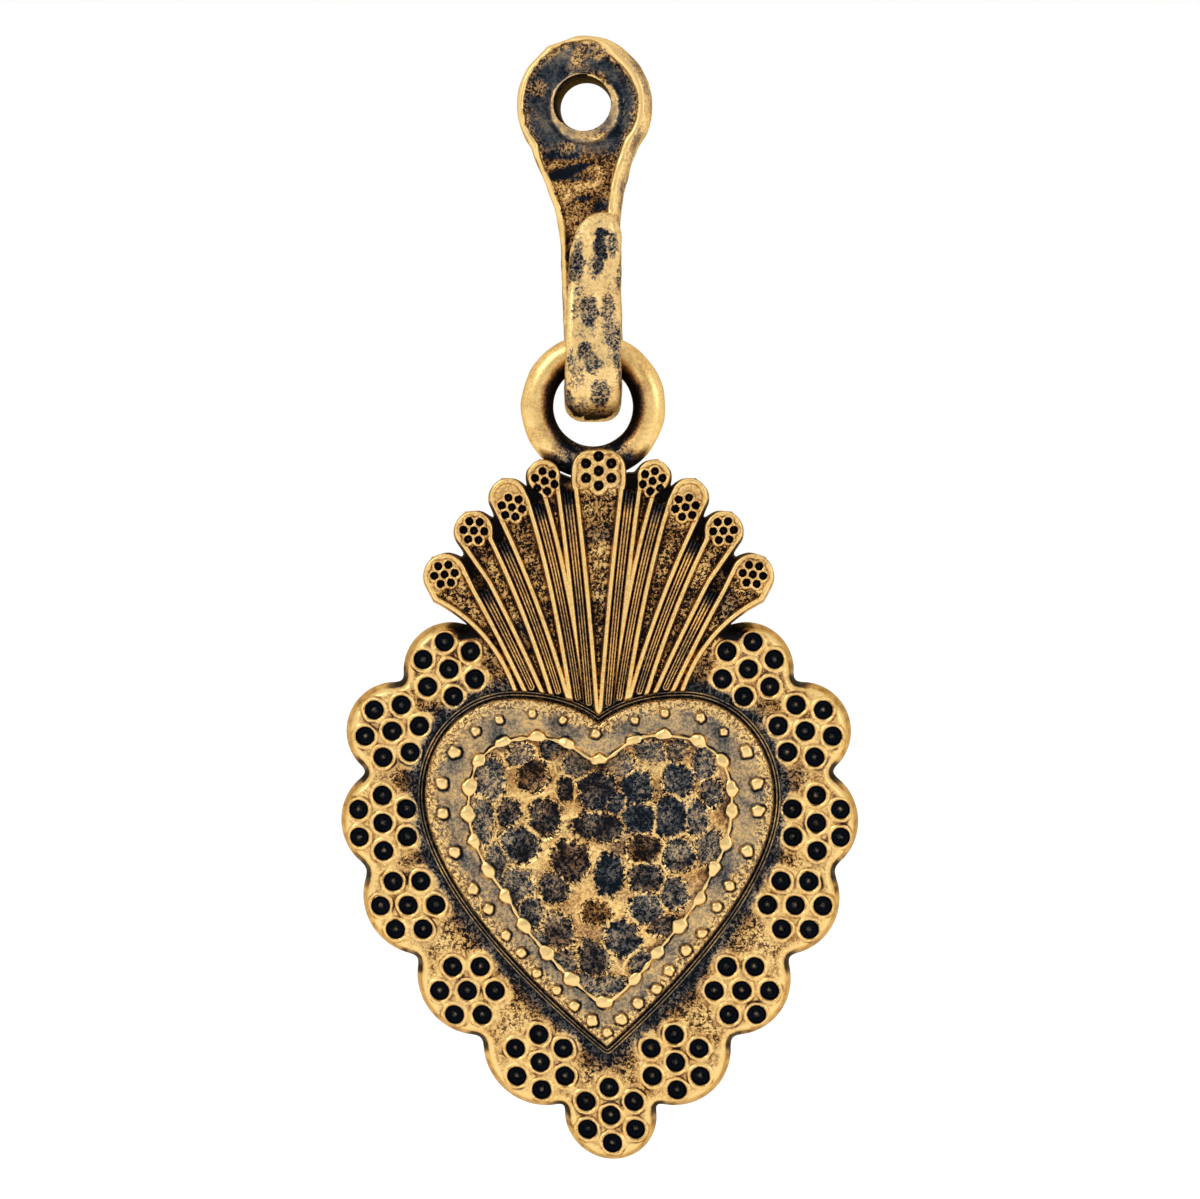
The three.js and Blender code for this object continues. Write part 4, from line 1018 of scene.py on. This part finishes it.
# Ribs: reeded strips of three fine ridges soldered in the seams between the flames. The outer
# ridges turn round the foot of the strip, and black patina fills the grooves.
rib_ridge, rib_groove, rib_length, rib_sink = 0.5, 0.3, 0.96, 0.2
rib_columns, rib_rows = 30, 170
rib_bronze = bronze("rib_bronze", fleck=0.12)
for i, seam in enumerate(seams[:4]):
    for side in (1, -1):
        line = seam if side > 0 else mirrored(seam)
        name = f"rib_{'right' if side > 0 else 'left'}_{i + 1}"
        near_heart = [t / 400 for t in range(401) if in_heart(beside(line, t / 400, 0)) < -0.38]
        foot, top = near_heart[0], beside(line, rib_length, 0)

        def rib_point(column, row):
            t = lerp(foot, rib_length, row / rib_rows)
            from_foot = (bezier(line, t) - bezier(line, foot)).length
            half = rib_half_at(t)
            blunt = math.sqrt(max(0.0, 1 - max(0, 1 - from_foot / half) ** 2))
            across = (column / rib_columns * 2 - 1) * half * blunt
            place = beside(line, t, across)
            depth = min(half - abs(across), from_foot + 0.02 if from_foot < half else 1)
            depth = min(depth, half - math.hypot(across, max(0, half - from_foot)))
            wave = abs(math.sin(1.5 * math.pi * max(0, depth) / half)) ** 0.5
            return Vector((*place, plate_thickness + lerp(rib_groove, rib_ridge, wave)))

        def rib_wear_and_shade(vert):
            up = (vert.co.z - plate_thickness - rib_groove) / (rib_ridge - rib_groove)
            if up < -0.1:
                return -0.3, 0.5, 0.2
            stain = ripple((vert.co.x * 0.8, vert.co.y * 0.35, i * 7.0 + side))
            # Painted shade: the rib's top end, in the notch between the flames, is darkened.
            notch = smooth(1.1, 0.1, (vert.co.xy - top).length)
            return lerp(-0.3, 0.86, smooth(0.2, 0.6, up)) + 0.4 * stain - 0.9 * notch, 0.7, 0.6

        bm = sheet(rib_columns, rib_rows, rib_point, weld=0.0005)
        seat(bm, plate_thickness - rib_sink)
        hang_piece(bm, name, "reeded", rib_bronze, rib_wear_and_shade, rounds=2, gain=0.5)

# Edge wire: two fine bronze wires laid side by side round the heart and soldered to the plate.
# Patina covers them, and only their tops are worn.
edge_wire, edge_columns, foot_sink = 0.3, 14, 0.1
edge_steps, edge_rise = 720, 0.2
edge_lines = [heart_line(-solder_gap - edge_wire * (1 - i / edge_columns), edge_steps)
              for i in range(edge_columns + 1)]


def hoop(columns, rows, point, foot):
    """A sheet that runs round the heart, with its underside closed at the foot's height."""
    bm = sheet(columns, rows, point, weld=0.0002)
    bmesh.ops.bridge_loops(bm, edges=draw_down(bm, foot))
    bmesh.ops.recalc_face_normals(bm, faces=bm.faces)
    return bm


def band(lines, height_at):
    """A hoop between outlines of the heart, whose height is set for each column and place."""

    def point(column, row):
        place = lines[column][row % len(lines[0])]
        return Vector((*place, height_at(column, place)))

    return hoop(len(lines) - 1, len(lines[0]), point, plate_thickness - foot_sink)


def edge_height(column, place):
    share = column / edge_columns
    twin = abs(math.sin(2 * math.pi * share)) ** 0.7
    return plate_thickness + 0.02 + edge_rise * twin + 0.05 * share


def edge_wear(vert):
    up = smooth(0.06, 0.2, vert.co.z - plate_thickness)
    stain = ripple((vert.co.x * 0.5, vert.co.y * 0.5, 8.0))
    return lerp(-0.2, 0.6, up) + 0.35 * stain, 0.95, 0.6


hang_piece(band(edge_lines, edge_height), "heart_edge_wire", "twin", rib_bronze,
           edge_wear, rounds=2, gain=0.5)

# Border: a band of sheet bronze round the heart with a rolled bright edge, worn to a greyish tan,
# with thirty-four grains fused to it in one row. Every grain has its own size.
border_height, border_width, border_loop = 0.55, 2.14, 1180

# The middles (x, y) of the grains, and of the beads on the wire inside them.
grains = [
    (-3.29, -15.31), (-1.77, -15.62), (-4.96, -15.62), (-6.1, -16.17), (-7.17, -17.22),
    (-7.81, -18.71), (-7.77, -20.24), (-7.24, -22.16), (-6.36, -23.99), (-5.61, -24.98),
    (-4.8, -26.29), (-4.08, -27.15), (-3.31, -28.18), (-2.38, -29.02), (-1.55, -29.77),
    (-0.69, -30.48), (0.06, -31.09), (-0.17, -16.3), (1.78, -15.63), (3.27, -15.28), (5.05, -15.51),
    (6.2, -16.22), (7.31, -17.16), (7.83, -18.75), (7.87, -20.13), (7.29, -22.13), (6.37, -23.83),
    (5.7, -24.89), (4.94, -26.21), (4.09, -27.05), (3.24, -28.05), (2.57, -28.96), (1.64, -29.63),
    (0.74, -30.46),
]
beads = [
    (0.02, -17.66), (-1.61, -16.82), (-3.07, -16.51), (-4.76, -16.77), (-5.94, -17.62),
    (-6.38, -18.95), (-6.49, -20.27), (-6.2, -21.62), (-5.57, -23.05), (-4.69, -24.35),
    (-3.87, -25.81), (-2.79, -27.15), (-1.61, -28.44), (-0.03, -29.59), (1.54, -28.44),
    (2.67, -27.13), (3.81, -25.81), (4.82, -24.43), (5.61, -22.99), (6.23, -21.73), (6.52, -20.12),
    (6.51, -19.03), (6.09, -17.66), (4.92, -16.71), (3.21, -16.4), (1.74, -16.62),
]

# The wire's path is a smooth curve through the beads. Each step of it notes its bead and how far
# from that bead's middle it is.
wire_steps = 38
wire_line, wire_bead = [], []
for i in range(len(beads)):
    p = [Vector(beads[(i + k) % len(beads)]) for k in (-1, 0, 1, 2)]
    for j in range(wire_steps):
        t = j / wire_steps
        curve = (p[1] * 2 + (p[2] - p[0]) * t + (p[0] * 2 - p[1] * 5 + p[2] * 4 - p[3]) * t**2
                 + (p[1] * 3 - p[0] - p[2] * 3 + p[3]) * t**3) * 0.5
        away = min((curve - p[1]).length, (curve - p[2]).length)
        wire_line.append(curve)
        wire_bead.append(((i + (t > 0.5)) % len(beads), away))
grain_tree, wire_tree = finder(grains), finder(wire_line)
border_steps = [0, 0.02, 0.05, 0.09, 0.14, 0.19, 0.25] + [0.3 + 0.04 * i for i in range(47)]
border_lines = [heart_line(min(step, border_width), border_loop) for step in border_steps]


def wire_radius(row):
    bead, away = wire_bead[row]
    size = 0.36 + 0.08 * ripple((bead * 5.1, 2.0, 0))
    thin = 0.08 + 0.07 * ripple((row * 0.09, 7.0, 0))
    return lerp(thin, size, max(0, 1 - (away / (size * 1.15)) ** 2) ** 0.65)


def wire_gap(place):
    """How far a place is outside the beaded wire."""
    _, row, away = wire_tree.find(place.to_3d())
    return away - wire_radius(row)


def grain_at(place):
    """How far a place is from the nearest grain, in shares of that grain's own radius there."""
    middle, i, _ = grain_tree.find(place.to_3d())
    way = place - Vector(middle[:2])
    turn = math.atan2(way.y, way.x)
    size = smooth(16.2, 17.4, -middle[1]) * (1 - 0.45 * smooth(21, 25, -middle[1]))
    size = lerp(0.23, 0.33, size)
    size += 0.06 * ripple((i * 3.7, 0.5, 0))
    size *= 1 + 0.3 * ripple((math.cos(turn) * 1.2, math.sin(turn) * 1.2, i * 2.3))
    return way.length / size, way


def border_height_at(column, place):
    step = border_steps[column]
    round_edge = math.sqrt(max(0, 1 - (1 - min(1, step / 0.26)) ** 2))
    height = 0.1 + (border_height - 0.1) * round_edge + 0.035 * ripple(place, 0.8)
    away, _ = grain_at(place)
    height += 0.24 * math.sqrt(max(0, 1 - min(1, away) ** 3.5))
    height -= 0.05 * smooth(1.35, 1.05, away) * smooth(0.95, 1.05, away)
    height -= 0.05 * smooth(0.12, 0.02, wire_gap(place))
    return plate_thickness + height


def border_wear_and_shade(vert):
    place = vert.co.xy
    step, (away, way), gap = in_heart(place), grain_at(place), wire_gap(place)
    stain, speck = ripple(place, 0.45), ripple(place, 2.2)
    streak = smooth(0.0, 0.4, ripple((place.x * 0.9, place.y * 0.6, 4.0)) + 0.15 * speck)
    rolled = smooth(0.9, 0.3, step + 0.35 * speck + 0.2 * stain)
    bareness_and_shade = lerp(0.72 + 0.2 * stain + 0.15 * speck - 0.24 * streak, 0.88, rolled)
    bareness_and_shade -= 0.6 * smooth(0.08, 0.0, step)
    # Painted shadow: each grain darkens the border to its lower right, and painted shade rings its
    # foot.
    shadow_side = Vector((0.75, -0.6)).dot(way.normalized()) if way.length else 0
    bareness_and_shade -= 0.7 * smooth(1.5, 1.0, away) * smooth(-0.5, 0.5, shadow_side)
    bareness_and_shade -= 0.25 * smooth(1.25, 1.05, away)
    bareness_and_shade = lerp(bareness_and_shade, 1.35, smooth(1.0, 0.85, away))
    bareness_and_shade -= (0.2 + 1.1 * speck) * smooth(0.14, 0.03, gap)
    return bareness_and_shade, lerp(1.0, 0.35, rolled), lerp(0.45, 1.5, rolled) * smooth(0.85, 1.1, away)


hang_piece(band(border_lines, border_height_at), "heart_border", "granulated",
           bronze("border_bronze", fleck=0.15), border_wear_and_shade, rounds=3, gain=0.8)

# Beaded wire: a half-round wire soldered on the border's inner margin, melted to a bead every
# millimetre or two. It stands proud of the border and is rubbed to bare metal.
wire_columns, wire_sink = 22, 0.12


def wire_point(column, row):
    row %= len(wire_line)
    bead, _ = wire_bead[row]
    radius = wire_radius(row)
    along = (wire_line[(row + 1) % len(wire_line)] - wire_line[row - 1]).normalized()
    angle = math.pi * column / wire_columns
    flat = math.copysign(abs(math.cos(angle)) ** 0.8, math.cos(angle))
    radius *= 1 + 0.45 * ripple((flat * 0.8, row * 0.1, bead * 1.3))
    up = math.sin(angle) ** 0.6 * (0.14 + 0.5 * max(0, radius - 0.1))
    place = wire_line[row] + Vector((along.y, -along.x)) * radius * flat
    return Vector((*place, plate_thickness + border_height - 0.02 + up))


def wire_wear(vert):
    up = vert.co.z - plate_thickness - border_height
    return lerp(0.6, 1.3, smooth(-0.02, 0.04, up)), 0.6, 0.3


bm = hoop(wire_columns, len(wire_line), wire_point, plate_thickness + border_height - wire_sink)
hang_piece(bm, "heart_beaded_wire", "melted", polished,
           wire_wear, rounds=2, gain=0.5)

# Dome: thick bronze raised to a low dome and struck all over with a round-faced hammer. Black and
# blue patina fills the blows, and the ridges between them are rubbed bright.
dome_rise, dome_middle, dome_reach = 1.9, Vector((0, -20.6)), 8.85
dome_columns, dome_rows = 720, 120

# The blows: middle (x, y), half sizes, how dark (less is darker), how blue.
blows = [
    (-3.84, -17.26, 0.7, 0.65, 0.58, 1), (-2.44, -17.06, 0.5, 0.5, 0.35, 1),
    (-0.95, -17.76, 0.85, 0.85, 0.45, 1), (-3.3, -18.31, 0.85, 0.9, 0.3, 0.2),
    (-5.46, -18.46, 0.9, 1.2, 0.45, 1), (-1.66, -18.96, 0.42, 0.68, 0.12, 0.4),
    (-0.06, -19.01, 1.05, 1.1, 0.12, 0.7), (-2.73, -20.41, 0.85, 1.0, 0.15, 0.5),
    (-4.43, -20.06, 0.6, 0.75, 0.3, 0.6), (-5.73, -20.56, 0.6, 1.4, 0.45, 1),
    (-3.96, -21.81, 1.1, 1.0, 0.28, 0.8), (-1.47, -22.56, 1.05, 1.1, 0.15, 0.4),
    (0.01, -20.86, 1.5, 0.8, 0.14, 0.6), (0.46, -23.11, 0.75, 1.15, 0.04, 1),
    (-4.35, -23.76, 1.15, 1.0, 0.42, 1), (-2.31, -23.86, 0.8, 0.85, 0.25, 0.6),
    (-0.29, -25.06, 0.85, 0.65, 0.42, 0.1), (-2.27, -26.16, 1.0, 1.05, 0.32, 0.6),
    (-3.49, -25.06, 0.7, 0.95, 0.42, 1), (-0.42, -27.41, 0.95, 1.05, 0.28, 0.7),
    (0.97, -26.36, 1.0, 1.05, 0.28, 0.9), (2.22, -24.91, 1.0, 0.9, 0.36, 1),
    (2.21, -23.36, 0.95, 0.75, 0.22, 0.7), (3.88, -22.26, 0.85, 0.95, 0.32, 0.8),
    (2.24, -21.86, 1.0, 0.8, 0.25, 0.2), (1.89, -18.86, 0.85, 1.0, 0.14, 1),
    (0.83, -19.66, 0.55, 0.6, 0.12, 1), (2.02, -20.36, 1.1, 0.85, 0.08, 1),
    (3.57, -20.31, 1.05, 1.1, 0.14, 1), (3.94, -18.56, 0.85, 0.85, 0.25, 0.95),
    (1.1, -17.76, 0.8, 0.8, 0.62, 1), (2.51, -17.16, 0.85, 0.6, 0.52, 1),
    (3.86, -17.11, 0.6, 0.55, 0.45, 0.8), (5.2, -17.81, 0.65, 1.05, 0.42, 1),
    (5.44, -19.16, 0.7, 0.8, 0.3, 0.8), (4.72, -20.36, 0.65, 1.0, 0.42, 1),
    (5.39, -21.96, 0.75, 0.95, 0.4, 1), (3.63, -24.26, 0.75, 0.9, 0.4, 0.9),
    (3.09, -25.76, 0.85, 0.65, 0.25, 0.7), (-0.02, -28.76, 1.3, 0.6, 0.4, 1),
    (1.92, -27.76, 0.65, 0.95, 0.4, 1), (-1.97, -27.56, 0.75, 0.75, 0.42, 1),
    (-5.13, -22.76, 0.55, 1.2, 0.45, 1), (-2.99, -26.56, 0.5, 0.85, 0.42, 1),
    (-1.0, -28.46, 0.7, 0.45, 0.42, 1),
]
dome_line = spaced(wire_line + wire_line[:1], [i / dome_columns for i in range(dome_columns)])
in_dome, blow_tree = inside_of(dome_line), finder(blows)


def blow_at(place):
    """How far a place is from the middle of the nearest blow, in shares of the blow's size there,
    how much farther the next one is, the nearest blow itself and the way from its middle."""
    found = []
    for middle, i, _ in blow_tree.find_n(place.to_3d(), 6):
        off = Vector(((place.x - blows[i][0]) / blows[i][2], (place.y - blows[i][1]) / blows[i][3]))
        way = off.normalized() if off.length > 1e-6 else off
        lobed = 0.22 * ripple((way.x * 0.9, way.y * 0.9, i * 3.1))
        found.append((off.length + lobed * min(1, off.length), i, way))
    found.sort(key=lambda item: item[0])
    return found[0][0], found[1][0] - found[0][0], blows[found[0][1]], found[0][2]


def dome_height(place):
    crown = dome_rise - (dome_rise - 0.45) * ((place - dome_middle).length / dome_reach) ** 2.4
    edge = min(1, max(0, in_dome(place)) / 1.6)
    height = lerp(border_height + 0.02, crown, 1 - (1 - edge) ** 2)
    away = blow_at(place)[0]
    height += 0.05 * smooth(0.95, 1.25, away) - 0.2 * (1 - min(1, away / 1.1) ** 2)
    return max(height, border_height + 0.04)


def dome_point(column, row):
    share = 1 - (1 - row / dome_rows) ** 1.1
    return dome_middle.lerp(dome_line[column % dome_columns], share).to_3d()


def dome_wear(vert):
    place = vert.co.xy
    away, lead, blow, way = blow_at(place)
    edge = smooth(0.8, 0.15, in_dome(place))
    feather = 0.2 * ripple((way.x * 4, way.y * 4, away * 1.5)) + 0.12 * ripple(place, 4)
    away += feather
    shade = smooth(3.2, 1.4, (place - Vector((1.4, -19.5))).length + 0.8 * ripple(place, 0.9))
    ridge = lerp(0.84, 0.6, edge) + 0.5 * ripple(place, 0.75) - 0.22 * shade
    crest = smooth(-0.1, 0.25, ripple(place, 0.6, (0, 0, 7)))
    ridge += 0.45 * smooth(0.14, 0.02, lead) * crest * (1 - edge)
    dark = blow[4] - 0.06 + 0.4 * ripple(place, 1.2) + 0.15 * ripple(place, 4)
    thin = 0.75 + 0.9 * ripple(place, 1.3, (3, 0, 0))
    thin *= smooth(0.26, 0.04, lead + feather * 0.6) * smooth(0.55, 0.8, away)
    rise = max(smooth(0.76, 1.16, away), thin)
    bareness_and_shade = lerp(dark, ridge, rise) - 0.2 * smooth(0.12, 0.03, wire_gap(place))
    cool = blow[5] * lerp(1, 0.3, rise) + 0.25 * ripple(place, 1.2)
    flecked = smooth(0.0, 0.25, rise) * smooth(1.0, 0.55, rise)
    return bareness_and_shade, cool, lerp(0.9, 2.2, flecked) - 0.3 * smooth(0.8, 1, rise)


bm = sheet(dome_columns, dome_rows, dome_point, weld=0.0004)
for vert in bm.verts:
    vert.co.z = plate_thickness + dome_height(vert.co.xy)
seat(bm, plate_thickness - foot_sink, crisp=False)
hang_piece(bm, "heart_dome", "hammered", bronze("dome_bronze", fleck=0.17, twist=1.0),
           dome_wear, rounds=6, gain=1.5)
